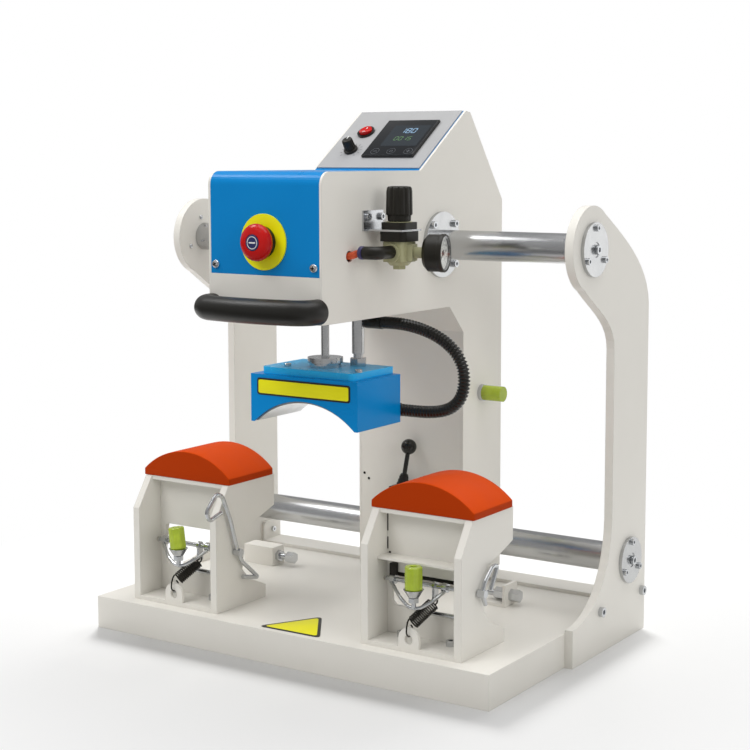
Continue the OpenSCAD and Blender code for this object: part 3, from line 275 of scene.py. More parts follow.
# Float glass over a dark display: a flat clear shine.
smoked_glass = surface("smoked_glass", "#101215", "#16191D", (0.08, 0.12), 60, 20, 0.002, edge=0.3,
                       IOR=1.52, Specular_IOR_Level=0.35)
# The lit area of the display, seen through the glass: a dull slate blue with a film grain.
display_field = surface("display_field", "#1C2329", "#242C33", (0.1, 0.14), 25, 0.8, 0.004, edge=0.1,
                        IOR=1.52)
# Segments of the display: pale blue and soft green light.
blue_segments = surface("blue_segments", "#7F9FBC", "#93B2CC", (0.2, 0.3), 5, 0.6, 0.002, edge=0.05,
                        Emission_Color="#7FA8D0", Emission_Strength=0.1)
green_segments = surface("green_segments", "#54754F", "#678A5D", (0.2, 0.3), 5, 0.6, 0.002, edge=0.05,
                         Emission_Color="#5E8A55", Emission_Strength=0.05)
# Screen-printed ink: flat, slightly raised and matt.
dark_ink = surface("dark_ink", "#2A2A2B", "#38383A", (0.5, 0.62), 6, 0.5, 0.01, edge=0.05, IOR=1.5)
grey_ink = surface("grey_ink", "#4A4C50", "#5A5D62", (0.5, 0.62), 6, 0.5, 0.01, edge=0.05, IOR=1.5)
white_ink = surface("white_ink", "#DADAD6", "#E8E8E4", (0.45, 0.55), 6, 0.5, 0.01, edge=0.05, IOR=1.5)
# Blue moulded insert of the stop button.
blue_insert = surface("blue_insert", "#1B2350", "#242E63", (0.3, 0.4), 8, 0.8, 0.02, edge=0.2, IOR=1.53)
# Enamelled tin of the gauge's dial.
dial_enamel = surface("dial_enamel", "#DCDAD4", "#E6E4DE", (0.35, 0.45), 12, 1.5, 0.01, edge=0.1,
                      IOR=1.5)
# Yellow and black vinyl of the blank plates.
yellow_vinyl = surface("yellow_vinyl", "#ECE608", "#F4EE16", (0.35, 0.45), 25, 1.2, 0.02, edge=0.2,
                       IOR=1.5, Specular_IOR_Level=0.3)
black_vinyl = surface("black_vinyl", "#1D1C18", "#2A2924", (0.35, 0.45), 25, 1.2, 0.02, edge=0.2,
                      IOR=1.5)
# Release collar of the push-in fitting, moulded in dark violet.
violet_plastic = surface("violet_plastic", "#352F5C", "#433C6E", (0.3, 0.4), 6, 0.8, 0.02, edge=0.2,
                         IOR=1.53)
# Seam or hole that light doesn't reach, painted dark as painted shade.
painted_recess_shade = surface("painted_recess_shade", "#12110F", "#1F1E1B", (0.7, 0.8), 10, 1, 0.02, edge=0.1)
# Clear acrylic window of the gauge.
clear_acrylic = surface("clear_acrylic", "#F4F6F6", "#FAFBFB", (0.02, 0.04), 30, 10, 0.002, edge=0.2,
                        IOR=1.49, Transmission_Weight=1)

slot_of = {part["node"]: part["material_slot"] for part in frame["record"]["subparts"]}
own_finish = {"platen_rods": rod_chrome, "platen_top_plate": top_lit_blue_coat,
              "platen_cover": lightened_blue_coat}
for name, shown in frame["nodes"].items():
    for place in shown.material_slots:
        place.material = own_finish.get(name, finish[slot_of[name]])


# Forms: each returns its points and faces in millimetres

def circle(d, steps=32):
    return [(d / 2 * math.cos(math.tau * i / steps), d / 2 * math.sin(math.tau * i / steps))
            for i in range(steps)]


def polar(r, a):
    return Vector((r * math.cos(a), r * math.sin(a)))


def rounded_box(w, h, r, steps=5):
    outline = []
    x, y = w / 2 - r, h / 2 - r
    for cx, cy, start in ((x, y, 0), (-x, y, 90), (-x, -y, 180), (x, -y, 270)):
        for i in range(steps + 1):
            a = math.radians(start + 90 * i / steps)
            outline.append((cx + r * math.cos(a), cy + r * math.sin(a)))
    return outline


def slab(outline, low, high, shift=(0, 0)):
    """A flat plate with the given outline."""
    n = len(outline)
    points = [(x + shift[0], y + shift[1], z) for z in (low, high) for x, y in outline]
    sides = [(i, (i + 1) % n, n + (i + 1) % n, n + i) for i in range(n)]
    return points, sides + [tuple(range(n - 1, -1, -1)), tuple(range(n, 2 * n))]


def band(outer, inner, low, high, shift=(0, 0)):
    """A flat ring between two outlines with the same number of points."""
    n = len(outer)
    points = [(x + shift[0], y + shift[1], z) for z in (low, high) for o in (outer, inner) for x, y in o]
    faces = []
    for i in range(n):
        j = (i + 1) % n
        faces += [(i, j, 2 * n + j, 2 * n + i), (n + j, n + i, 3 * n + i, 3 * n + j),
                  (j, i, n + i, n + j), (2 * n + i, 2 * n + j, 3 * n + j, 3 * n + i)]
    return points, faces


def lathe(profile, steps=48, wave=None):
    """A turned form from (radius, height) pairs, from the bottom to the top. wave scales the radius."""
    points, faces, rows = [], [], []
    for r, z in profile:
        if r == 0:
            rows.append([len(points)] * steps)
            points.append((0, 0, z))
            continue
        rows.append(list(range(len(points), len(points) + steps)))
        for i in range(steps):
            a = math.tau * i / steps
            k = r * (wave(a, z) if wave else 1)
            points.append((k * math.cos(a), k * math.sin(a), z))
    for low, high in zip(rows, rows[1:]):
        for i in range(steps):
            j = (i + 1) % steps
            face = []
            for p in (low[i], low[j], high[j], high[i]):
                if p not in face:
                    face.append(p)
            if len(face) > 2:
                faces.append(tuple(face))
    for row, flip in ((rows[0], True), (rows[-1], False)):
        if row[0] != row[1]:
            faces.append(tuple(reversed(row)) if flip else tuple(row))
    return points, faces


def hose(path, radii, sides, side=Y):
    """A tube along points, with a radius at each one, closed at both ends."""
    points, faces = [], []
    normal = Vector(side)
    for i, here in enumerate(path):
        ahead = (path[min(i + 1, len(path) - 1)] - path[max(i - 1, 0)]).normalized()
        normal = (normal - ahead * normal.dot(ahead)).normalized()
        other = ahead.cross(normal)
        for k in range(sides):
            a = math.tau * k / sides
            points.append(tuple(here + radii[i] * (math.cos(a) * normal + math.sin(a) * other)))
    for i in range(len(path) - 1):
        for k in range(sides):
            a, b = i * sides + k, i * sides + (k + 1) % sides
            faces.append((a, b, b + sides, a + sides))
    last = (len(path) - 1) * sides
    return points, faces + [tuple(range(sides - 1, -1, -1)), tuple(range(last, last + sides))]


def together(*forms):
    """Several forms as one."""
    points, faces = [], []
    for more, rows in forms:
        faces += [tuple(i + len(points) for i in row) for row in rows]
        points += list(more)
    return points, faces


def piece(name, form, where, body, slot, material, bevel=0, steps=2, sharp=35):
    """Makes an object from a form, rounds its edges, and puts it on its body."""
    mesh = bpy.data.meshes.new(name)
    mesh.from_pydata([where @ Vector(p) for p in form[0]], [], form[1])
    work = bmesh.new()
    work.from_mesh(mesh)
    bmesh.ops.recalc_face_normals(work, faces=work.faces)
    if bevel:
        edges = [e for e in work.edges if len(e.link_faces) == 2
                 and e.calc_face_angle() > math.radians(sharp)]
        bmesh.ops.bevel(work, geom=edges, offset=bevel * MM, segments=steps, profile=0.6, affect="EDGES",
                        clamp_overlap=True)
    for face in work.faces:
        face.smooth = True
    for edge in work.edges:
        if len(edge.link_faces) == 2 and edge.calc_face_angle() > math.radians(sharp):
            edge.smooth = False
    work.to_mesh(mesh)
    work.free()
    made = bpy.data.objects.new(name, mesh)
    bpy.context.scene.collection.objects.link(made)
    mesh.materials.append(material)
    if body:
        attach(made, body)
    return made


def detail(name, form, where, body, slot, material=None, **edges):
    """A piece in its slot's own finish, or in a finish that only this piece has."""
    return piece(name, form, where, body, slot, material or finish[slot], **edges)


# Air and heater lines: the ribbed conduit and its route

def bezier(a, b, c, d, t):
    """The point at share t of a smooth curve from a to d that is pulled towards b and c."""
    return a * (1 - t) ** 3 + 3 * b * t * (1 - t) ** 2 + 3 * c * t * t * (1 - t) + d * t ** 3


def even(points, step):
    """Points at an even distance along a line of straight steps."""
    run = [0]
    for a, b in zip(points, points[1:]):
        run.append(run[-1] + (b - a).length)
    count = round(run[-1] / step)
    out, i = [], 0
    for k in range(count + 1):
        s = run[-1] * k / count
        while i < len(run) - 2 and run[i + 1] < s:
            i += 1
        out.append(points[i].lerp(points[i + 1], (s - run[i]) / (run[i + 1] - run[i])))
    return out, run[-1]


HEAD_X = 9
CONDUIT_D = 14
CONDUIT_Y = 131
RIB_PITCH, RIB_GROOVE = 3.9, 1.7
# The plain cuff at each end is this many rings long
CUFF_RINGS = 6
top_end = Vector((HEAD_X + 44, CONDUIT_Y, 374))
low_end = Vector((HEAD_X + 68, CONDUIT_Y, 276))
loop = Vector((HEAD_X + 152, CONDUIT_Y, 316.5))
route = [top_end]
route += [bezier(top_end + CONDUIT_D * X, top_end + 52 * X, loop + 43 * Z, loop, i / 24)
          for i in range(25)]
route += [bezier(loop, loop - 39 * Z, low_end + 50 * X, low_end + CONDUIT_D * X, i / 24)
          for i in range(1, 25)]
route.append(low_end)
# Four rings to a rib: two on its crest and two in its groove
rings, conduit_len = even(route, RIB_PITCH / 4)
crest = [CONDUIT_D / 2 - (0 if i % 4 < 2 else RIB_GROOVE) for i in range(len(rings))]
for i in range(CUFF_RINGS):
    crest[i] = crest[-1 - i] = CONDUIT_D / 2
conduit = detail("ribbed_conduit", hose(rings, crest, 28), stand((0, 0, 0)), None,
                 "black_gloss_plastic", sharp=80)
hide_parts("conduit")
PATH_STEP = 8
route_points = even(route, PATH_STEP)[0]
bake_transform(conduit)

# Springs: two open hooks and a close coil from the foot's eye to the stirrup
STATION_X = 163.5
FORM_Y = 17.5
EYE_X, EYE_Z, EYE_T, EYE_HOLE = -2, 52, 4, 10
HOOK_X = 11
PIVOT = Vector((0, FORM_Y + 32.5, 105))
SPRING_D, SPRING_WIRE, SPRING_TURNS = 15, 1.8, 12
coil_r = (SPRING_D - SPRING_WIRE) / 2
coil_low = Vector((EYE_X + 1, FORM_Y + 7, EYE_Z + 17))
coil_high = PIVOT + Vector((HOOK_X - 1, -3, -19))
coil_axis = (coil_high - coil_low).normalized()
coil_side = coil_axis.cross(X).normalized()
coil_up = coil_axis.cross(coil_side)
coil_step = (coil_high - coil_low).length / (SPRING_TURNS + 0.5)
LOW_R, HIGH_R = 6, 3.5
# How far the lower hook's wire stands inside the eye's hole
HOOK_IN = 1.4


def coil_point(a):
    """The wire's centre, at an angle in degrees from the coil's start."""
    turn = math.radians(a + 180)
    return (coil_low + coil_axis * coil_step * a / 360
            + coil_r * (math.cos(turn) * coil_side + math.sin(turn) * coil_up))


def spring_path():
    """The lower hook, a bend up to the coil, the coil, a bend and the upper hook."""
    low_centre = Vector((EYE_X, FORM_Y + EYE_T / 2, EYE_Z + EYE_HOLE / 2 - HOOK_IN + LOW_R))
    low = [low_centre + LOW_R * (math.cos(a) * Y + math.sin(a) * Z)
           for a in (math.radians(60 - 15 * k) for k in range(17))]
    high_dir = Vector((0, 3, 7)).normalized()
    high_centre = PIVOT + Vector((HOOK_X, 0, -13.2)) - HIGH_R * high_dir
    high = [high_centre + HIGH_R * (math.cos(a) * X + math.sin(a) * high_dir)
            for a in (math.radians(180 - 15 * k) for k in range(17))]
    end = 360 * (SPRING_TURNS + 0.5)
    first, last = coil_point(0), coil_point(end)
    path = low
    path += [bezier(low[-1], low[-1] + 7 * Z, first + 5 * coil_up, first, t)
             for t in (0.25, 0.5, 0.75, 0.9)]
    path += [coil_point(a) for a in range(0, int(end) + 1, 20)]
    path += [bezier(last, last + 4 * coil_up, high[0] - 3 * high_dir, high[0], t)
             for t in (0.25, 0.5, 0.75)]
    return path + high


sides = {"left": -STATION_X, "right": STATION_X}
for side, x in sides.items():
    path = [p + x * X for p in spring_path()]
    wire = hose(path, [SPRING_WIRE / 2] * len(path), 10, X)
    spring = detail(side + "_clamp_spring", wire, stand((0, 0, 0)), None, "black_steel", sharp=80)
    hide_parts(side + "_spring")
    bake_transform(spring)

# Pads: moulded silicone with a straight edge and a crown that follows a circle
PAD_W, PAD_D, PAD_SIDE, PAD_CROWN = 130, 82, 7.5, 26
END_PULL = 0.006
FORM_TOP = 184
PRESS_Y = 81
crown_r = ((PAD_W / 2) ** 2 + PAD_CROWN ** 2) / (2 * PAD_CROWN)


def pad_form():
    """Rows of the outline from front to back: the crown is a little smaller at both ends."""
    outline = [(-PAD_W / 2, 0), (-PAD_W / 2, PAD_SIDE)]
    steps = 40
    half = math.asin(PAD_W / 2 / crown_r)
    for i in range(1, steps):
        a = half * (2 * i / steps - 1)
        outline.append((crown_r * math.sin(a), PAD_SIDE + PAD_CROWN - crown_r * (1 - math.cos(a))))
    outline += [(PAD_W / 2, PAD_SIDE), (PAD_W / 2, 0)]
    rows = 12
    points, faces = [], []
    n = len(outline)
    for k in range(rows + 1):
        u = 2 * k / rows - 1
        pull = 1 - END_PULL * abs(u) ** 6
        points += [(x * pull, PAD_D / 2 * u, z * pull) for x, z in outline]
    for k in range(rows):
        for i in range(n):
            j = (i + 1) % n
            faces.append((k * n + i, k * n + j, (k + 1) * n + j, (k + 1) * n + i))
    last = rows * n
    return points, faces + [tuple(range(n)), tuple(range(last + n - 1, last - 1, -1))]


for side, x in sides.items():
    pad = detail(side + "_silicone_pad", pad_form(), stand((x, PRESS_Y, FORM_TOP)), "frame",
                 "orange_silicone", bevel=1.0, steps=3, sharp=40)
    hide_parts(side + "_pad")

# Control panel
PANEL_Y, HEAD_TOP, PANEL_TILT = 162.5, 545.5, math.radians(35)
PANEL_T = 1.5
panel_normal = Vector((0, -math.sin(PANEL_TILT), math.cos(PANEL_TILT)))
panel = stand((HEAD_X, PANEL_Y, HEAD_TOP), panel_normal)
KNOB = (-41, 37)
ROCKER = (-40, 74)
DISPLAY = (18, 59)
GLASS_Z, GLASS_T, FIELD_T = PANEL_T + 3, 0.5, 0.1
INK_T = 0.1
KEYS_X, KEY_Y, KEY_D = (-20.5, 2, 25.5), -28, 11
SIGN_R = 2.5


def on_panel(x, y, z=0):
    """A place on the tilted panel, from the middle of its lower edge."""
    return panel @ Matrix.Translation((x, y, z))


def bar(a, b, width, low, high):
    """A straight flat stroke between two points."""
    a, b = Vector(a), Vector(b)
    along = (b - a).normalized() * width / 2
    across = Vector((-along.y, along.x))
    corners = [a - along * 0.5 + across, a - along * 0.5 - across, b + along * 0.5 - across,
               b + along * 0.5 + across]
    return slab([tuple(c) for c in corners], low, high)


SEGMENTS = {"0": "abcdef", "1": "bc", "2": "abged", "5": "afgcd", "8": "abcdefg"}
ENDS = {"a": ((0, 2), (1, 2)), "b": ((1, 2), (1, 1)), "c": ((1, 1), (1, 0)), "d": ((0, 0), (1, 0)),
        "e": ((0, 1), (0, 0)), "f": ((0, 2), (0, 1)), "g": ((0, 1), (1, 1))}
NUMERAL_PITCH, NUMERAL_LEAN, STROKE_TRIM, STROKE_T = 1.55, 0.06, 0.55, 0.12


def digits(text, left, low, w, h, stroke):
    """Seven-segment numerals that lean a little."""
    forms = []
    for i, sign in enumerate(text):
        for key in SEGMENTS[sign]:
            ends = [Vector((left + i * w * NUMERAL_PITCH + p[0] * w + p[1] * h * NUMERAL_LEAN,
                            low + p[1] * h / 2)) for p in ENDS[key]]
            trim = (ends[1] - ends[0]).normalized() * stroke * STROKE_TRIM
            forms.append(bar(ends[0] + trim, ends[1] - trim, stroke, 0, STROKE_T))
    return together(*forms)


face = on_panel(*DISPLAY, GLASS_Z)
detail("display_glass", slab(rounded_box(70, 72, 2.5), -0.4, GLASS_T), face, "head",
       "black_gloss_plastic", smoked_glass, bevel=0.3)
screen = face @ Matrix.Translation((0, 0, GLASS_T))
detail("display_field", slab(rounded_box(50, 42, 1.5), 0, FIELD_T, (5.5, 3.5)), screen, "head",
       "black_gloss_plastic", display_field)
lit = screen @ Matrix.Translation((0, 0, FIELD_T))
detail("display_upper_numerals", digits("180", -6, 9, 5, 9, 1.0), lit, "head", "black_gloss_plastic",
       blue_segments)
detail("display_lower_numerals", digits("0015", -7, -6, 4, 7, 0.8), lit, "head", "black_gloss_plastic",
       green_segments)
keys = [band(circle(KEY_D, 40), circle(KEY_D - 0.8, 40), 0, INK_T, (x, KEY_Y)) for x in KEYS_X]
detail("display_key_rings", together(*keys), screen, "head", "black_gloss_plastic", grey_ink)
# Signs on the keys: a minus, a small ring and a plus
less, ring, more = KEYS_X
signs = [bar((x - SIGN_R, KEY_Y), (x + SIGN_R, KEY_Y), 0.8, 0, INK_T) for x in (less, more)]
signs.append(bar((more, KEY_Y - SIGN_R), (more, KEY_Y + SIGN_R), 0.8, 0, INK_T))
signs.append(band(circle(4.2, 24), circle(3.2, 24), 0, INK_T, (ring, KEY_Y)))
detail("display_key_marks", together(*signs), screen, "head", "black_gloss_plastic", grey_ink)
film = panel @ Matrix.Translation((0, 0, PANEL_T))
TICKS, TICK_FIRST, TICK_STEP = 11, -45, 27
ticks = []
for k in range(TICKS):
    a = math.radians(TICK_FIRST + TICK_STEP * k)
    ticks.append(bar(Vector(KNOB) + polar(12, a), Vector(KNOB) + polar(14, a), 0.6, 0, INK_T))
detail("dial_marks", together(*ticks), film, "head", "panel_film", grey_ink)


def flutes(count, depth):
    """Flutes round a turned form, with depth as a share of its radius."""
    return lambda a, z: 1 - depth * (0.5 + 0.5 * math.cos(count * a)) ** 2


# The dial: a skirt and a fluted cap with a pale pointer
dial = detail("panel_dial", lathe([(8.3, 2.0), (8.5, 2.4), (8.5, 4.4), (8.1, 4.9), (7, 5.1)], 64),
              on_panel(*KNOB), "dial", "black_plastic", bevel=0.2)
cap = lathe([(7, 4.9), (6.9, 7), (6.3, 16.6), (5.7, 17.5), (4.6, 18), (0, 18.1)], 96, flutes(16, 0.07))
detail("panel_dial_cap", cap, on_panel(*KNOB), "dial", "black_plastic", sharp=50)
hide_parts("panel_knob")
detail("panel_dial_pointer", bar((0, 1), (0, 5.2), 1.2, 17.6, 18.3),
       on_panel(*KNOB), "dial", "black_plastic", white_ink, bevel=0.1)

# Rocker marks: a bar and a ring on its two halves
ROCKER_REST, ROCKER_R, ROCKER_DIP, ROCKER_Z = 7, 8.05, 1.4, 3.6
MARK_OUT, MARK_T = 4.3, 0.12
rocker_face = on_panel(*ROCKER, PANEL_T) @ Matrix.Rotation(math.radians(-ROCKER_REST), 4, "X")
tilt = math.atan2(ROCKER_DIP, ROCKER_R)
for name, sign, form in (("rocker_bar", 1, slab(rounded_box(1, 3.4, 0.4), 0, MARK_T)),
                         ("rocker_ring", -1, band(circle(3.6, 32), circle(2.4, 32), 0, MARK_T))):
    half = rocker_face @ Matrix.Translation((0, sign * MARK_OUT, ROCKER_Z + MARK_OUT * math.tan(tilt)))
    detail(name, form, half @ Matrix.Rotation(sign * tilt, 4, "X"), "power_rocker", "red_plastic",
           white_ink)

# Emergency stop: a rounded mushroom with a blue disc and a white ring
HEAD_FRONT, ESTOP_Z = -28.5, 471
RING_OUT, NECK_OUT = 1.5, 3
stop = stand((HEAD_X, HEAD_FRONT - NECK_OUT, ESTOP_Z), -Y, X)
mushroom = lathe([(6, -10), (6, 4.4), (16.5, 4.6), (18.4, 5.6), (19.6, 7.4), (20, 9.6), (19.7, 11.6),
                  (18.4, 14), (16, 15.8), (12.6, 16.8), (9.4, 17.2), (9, 16.7), (0, 16.7)], 64)
button = detail("stop_mushroom", mushroom, stop, "emergency_stop", "red_plastic", sharp=50)
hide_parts("estop_button")
detail("stop_disc", lathe([(8.6, 16.6), (8.6, 17.0), (8.2, 17.3), (0, 17.4)], 48), stop, "emergency_stop",
       "red_plastic", blue_insert)
detail("stop_ring_mark", together(band(circle(13.6, 48), circle(12, 48), 17.3, 17.45),
                                  slab(rounded_box(8.4, 1.5, 0.5), 17.3, 17.5)), stop,
       "emergency_stop", "red_plastic", white_ink)
detail("stop_collar", lathe([(16.4, 0), (17, 0.3), (17, 3.6), (16.2, 4.4), (12, 4.6), (12, 4)], 64),
       stand((HEAD_X, HEAD_FRONT - RING_OUT, ESTOP_Z), -Y, X), "head", "yellow_plastic",
       finish["black_plastic"], bevel=0.2)

# Regulator: a fluted knob, and the gauge's dial, numbers, rim and window
REG = (114.5, 72)
GAUGE_TURN = math.radians(14.5)
GAUGE_Z, GAUGE_NEAR, GAUGE_LEN = 458.5, 30, 22
ENAMEL_T, ENAMEL_TOP = 0.2, -3.7
KNOB_GRIP_LOW, KNOB_GRIP_TOP = 499, 528


def regulator_flutes(a, z):
    """Twelve flutes, deep along the grip and shallow on the rest of the knob."""
    depth = 0.085 if KNOB_GRIP_LOW < z < KNOB_GRIP_TOP else 0.02
    return 1 - depth * (0.5 + 0.5 * math.cos(12 * a)) ** 3


cap = lathe([(11.5, 492), (12.5, 492.4), (12.8, 498), (13.9, 498.6), (14.5, 500), (14.1, 524),
             (13.5, 527.6), (12.2, 529), (9, 529.5), (0, 529.5)], 144, regulator_flutes)
knob = detail("regulator_knob_cap", cap, stand((*REG, 0)), "pressure_knob", "black_plastic", sharp=50)
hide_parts("regulator_knob")
out = Vector((math.cos(GAUGE_TURN), math.sin(GAUGE_TURN), 0))
gauge = stand(Vector((*REG, GAUGE_Z)) + out * (GAUGE_NEAR + GAUGE_LEN), out, Z.cross(out))
detail("gauge_rim", lathe([(18.2, -5), (20.4, -5), (20.6, -4.4), (20.6, -0.4), (20, 0.4), (18.6, 0.5),
                           (18.1, 0), (18, -5)], 64), gauge, "head", "black_plastic", sharp=40)
detail("gauge_dial", band(circle(36.2, 64), circle(2.4, 64), ENAMEL_TOP - ENAMEL_T, ENAMEL_TOP), gauge,
       "head", "black_plastic", dial_enamel)
# The scale: 40 steps over three quarters of a turn, with every fourth mark long and bold
SCALE_START, SCALE_SWEEP, SCALE_STEPS, SCALE_R = 225, 270, 40, 16.3
scale_marks = []
for k in range(SCALE_STEPS + 1):
    a = math.radians(SCALE_START - SCALE_SWEEP * k / SCALE_STEPS)
    inner, stroke = (13.2, 0.5) if k % 4 == 0 else (14.6, 0.25)
    scale_marks.append(bar(polar(inner, a), polar(SCALE_R, a), stroke, 0, INK_T))
on_dial = gauge @ Matrix.Translation((0, 0, ENAMEL_TOP))
detail("gauge_marks", together(*scale_marks), on_dial, "head", "black_plastic", dark_ink)


NUMBERS, NUMBER_SIZE, NUMBER_R, NUMBER_T = ("0", "2", "4", "6", "8", "10"), 3.6, 10.2, 0.05


def number(name, text, size, where, body, slot, material):
    """A plain printed number, drawn flat."""
    curve = bpy.data.curves.new(name, "FONT")
    curve.body = text
    curve.size = size
    curve.extrude = NUMBER_T
    curve.align_x = "CENTER"
    curve.align_y = "CENTER"
    curve.resolution_u = 3
    drawn = bpy.data.objects.new(name, curve)
    bpy.context.scene.collection.objects.link(drawn)
    bpy.context.view_layer.update()
    mesh = bpy.data.meshes.new_from_object(drawn.evaluated_get(bpy.context.evaluated_depsgraph_get()))
    bpy.data.objects.remove(drawn)
    form = ([tuple(v.co) for v in mesh.vertices], [tuple(p.vertices) for p in mesh.polygons])
    return piece(name, form, where, body, slot, material)


for k, text in enumerate(NUMBERS):
    a = math.radians(SCALE_START - SCALE_SWEEP * k / (len(NUMBERS) - 1))
    spot = on_dial @ Matrix.Translation((*polar(NUMBER_R, a), NUMBER_T))
    number("gauge_number_" + text, text, NUMBER_SIZE, spot, "head", "black_plastic", dark_ink)
window = detail("gauge_window", lathe([(0, -0.6), (18, -0.6), (18, 0.1), (0, 0.25)], 64), gauge, "head",
                "black_plastic", clear_acrylic)
window.visible_shadow = False

# Platen: the blank front plate and the screws of the top plate
PLATEN_FRONT, PLATEN_TOP, PLATE_Z = 38.5, 326, 304.3
VINYL_T = 0.5
plate = stand((HEAD_X, PLATEN_FRONT, PLATE_Z), -Y, X)
detail("platen_blank_border", slab(rounded_box(127.6, 19.2, 3), 0, VINYL_T), plate, "platen",
       "blue_powder_coat", black_vinyl, bevel=0.12)
detail("platen_blank_face", slab(rounded_box(123.4, 15.2, 2), VINYL_T, 0.75), plate, "platen",
       "blue_powder_coat", yellow_vinyl, bevel=0.1)


def cap_screw(d, h):
    """A socket head screw: a rounded rim round a six-sided recess."""
    count, steps = 6, 6
    head = lathe([(d / 2, 0), (d / 2, h * 0.82), (d / 2 - 0.18 * h, h), (d * 0.31, h)], count * steps)
    points, faces = head[0], head[1][:-1]
    rim = 3 * count * steps
    socket = len(points)
    points = points + [(x, y, z) for z in (h, h * 0.4) for x, y in circle(d * 0.56, count)]
    for k in range(count):
        low, high = socket + k, socket + (k + 1) % count
        for i in range(steps):
            a, b = rim + k * steps + i, rim + (k * steps + i + 1) % (count * steps)
            faces.append((a, b, low if i < steps / 2 else high))
        faces.append((rim + k * steps + steps // 2, high, low))
        faces.append((low, high, high + count, low + count))
    return points, faces + [tuple(range(socket + count, socket + 2 * count))]


def pan_screw(d, h):
    """A domed screw head."""
    return lathe([(d / 2, 0), (d / 2, h * 0.3), (d * 0.42, h * 0.7), (d * 0.28, h * 0.93), (0, h)], 28)


def cross_slot(d, h):
    """The cross recess of a pan head screw, drawn as a flat raised cross in painted shade."""
    return together(slab(rounded_box(d * 0.5, d * 0.13, d * 0.05), h * 0.93, h * 1.03),
                    slab(rounded_box(d * 0.13, d * 0.5, d * 0.05), h * 0.93, h * 1.03))


TOP_PLATE_SCREWS = ((-37, 60), (21, 119), (60, 60))
for n, (x, y) in enumerate(TOP_PLATE_SCREWS):
    detail("platen_plate_screw_%d" % n, cap_screw(8, 3.5), stand((HEAD_X + x, y, PLATEN_TOP)), "platen",
           "zinc_plate")

# Screws of the blue cover and of the left end plate, and the fitting's collar
COVER_SCREW_X, COVER_SCREW_Z = 65.5, 445.5
COVER_SCREW = (9.4, 3.2)
for n, s in enumerate((-1, 1)):
    where = stand((HEAD_X + s * COVER_SCREW_X, HEAD_FRONT, COVER_SCREW_Z), -Y)
    detail("cover_screw_%d" % n, pan_screw(*COVER_SCREW), where, "head", "zinc_plate", whitened_nickel)
    detail("cover_screw_cross_%d" % n, cross_slot(*COVER_SCREW),
           where @ Matrix.Rotation(0.5 + n, 4, "Z"), "head", "zinc_plate", painted_recess_shade)
END_PLATE_X = 270
END_PLATE_SCREWS = ((198.3, 484.6), (178.2, 448.6))
for n, (y, z) in enumerate(END_PLATE_SCREWS):
    detail("left_plate_screw_%d" % n, pan_screw(5.5, 2), stand((-END_PLATE_X, y, z), X, Y), "frame",
           "zinc_plate")
FITTING = (96, 27, 459.5)
collar = lathe([(4.2, -1), (6.9, -1), (7.2, -0.4), (7.2, 2.6), (6.6, 3.4), (4.2, 3.4)], 40)
detail("fitting_collar", collar, stand(FITTING, X, Y), "head", "black_plastic", violet_plastic, sharp=40)


# Blank plate on top of the base: a yellow triangle with a dark border

def rounded(corners, r, steps=6):
    """A polygon with its corners drawn as soft curves."""
    outline = []
    for k, corner in enumerate(corners):
        corner = Vector(corner)
        ends = [corner + (Vector(near) - corner).normalized() * r
                for near in (corners[k - 1], corners[(k + 1) % len(corners)])]
        for i in range(steps + 1):
            t = i / steps
            outline.append(tuple(ends[0] * (1 - t) ** 2 + 2 * corner * t * (1 - t) + ends[1] * t * t))
    return outline


TRIANGLE = ((-32.5, 6.9), (52.1, 8.6), (7.0, 74.3))
TRIANGLE_MIDDLE, FACE_SHARE = Vector((9, 30)), 0.85
BASE_TOP = 38
inset = [tuple(TRIANGLE_MIDDLE + (Vector(c) - TRIANGLE_MIDDLE) * FACE_SHARE) for c in TRIANGLE]
plate = stand((0, 0, BASE_TOP))
detail("base_triangle_border", slab(rounded(TRIANGLE, 9), 0, VINYL_T), plate, "frame",
       "white_powder_coat", black_vinyl, bevel=0.12)
detail("base_triangle_face", slab(rounded(inset, 6), VINYL_T, 0.7), plate, "frame",
       "white_powder_coat", yellow_vinyl, bevel=0.1)

# Small holes on the column's front, drawn as flat dark discs of painted shade, and a screw
COLUMN_Y = 257
COLUMN_HOLES = ((-58.8, 167.7), (-52.3, 161.4))
HOLE_T = 0.25
for n, (x, z) in enumerate(COLUMN_HOLES):
    detail("column_hole_%d" % n, slab(circle(3.4, 24), 0, HOLE_T), stand((x, COLUMN_Y, z), -Y), "head",
           "white_powder_coat", painted_recess_shade)
detail("column_screw", pan_screw(7, 2.4), stand((30, COLUMN_Y, 170), -Y), "head", "zinc_plate")

# Painted shade of the right form's panel seams and hole, a rubber stop in front of it and a black strip
# behind its window
FORM_PANEL_Y = FORM_Y + 38
SEAM_X, SEAM_W, SEAM_HEIGHTS = 110.3, 1.3, ((156, 175), (136, 149.5))
for n, (low, high) in enumerate(SEAM_HEIGHTS):
    detail("right_form_seam_%d" % n, slab(rounded_box(SEAM_W, high - low, 0.5), 0, HOLE_T),
           stand((SEAM_X, FORM_PANEL_Y, (low + high) / 2), -Y), "frame", "white_powder_coat", painted_recess_shade)
detail("right_form_hole", slab(circle(2.6, 20), 0, HOLE_T), stand((113, FORM_PANEL_Y, 132.5), -Y),
       "frame", "white_powder_coat", painted_recess_shade)
detail("right_form_stop", slab(rounded_box(8, 15, 1.5), 0, 6), stand((120, FORM_PANEL_Y, 115), -Y), "frame",
       "black_plastic", bevel=0.8)
STRIP_BACK = 6.5
detail("right_form_strip", slab(rounded_box(88, 11, 1), 0, 3),
       stand((STATION_X, FORM_PANEL_Y + STRIP_BACK, 112), -Y), "frame", "black_plastic", bevel=0.5)

# Bumpers of the clamps: cast with eight soft flutes and a hole in the top
BUMPER_Z, BUMPER_D, BUMPER_H = 105.5, 19, 25


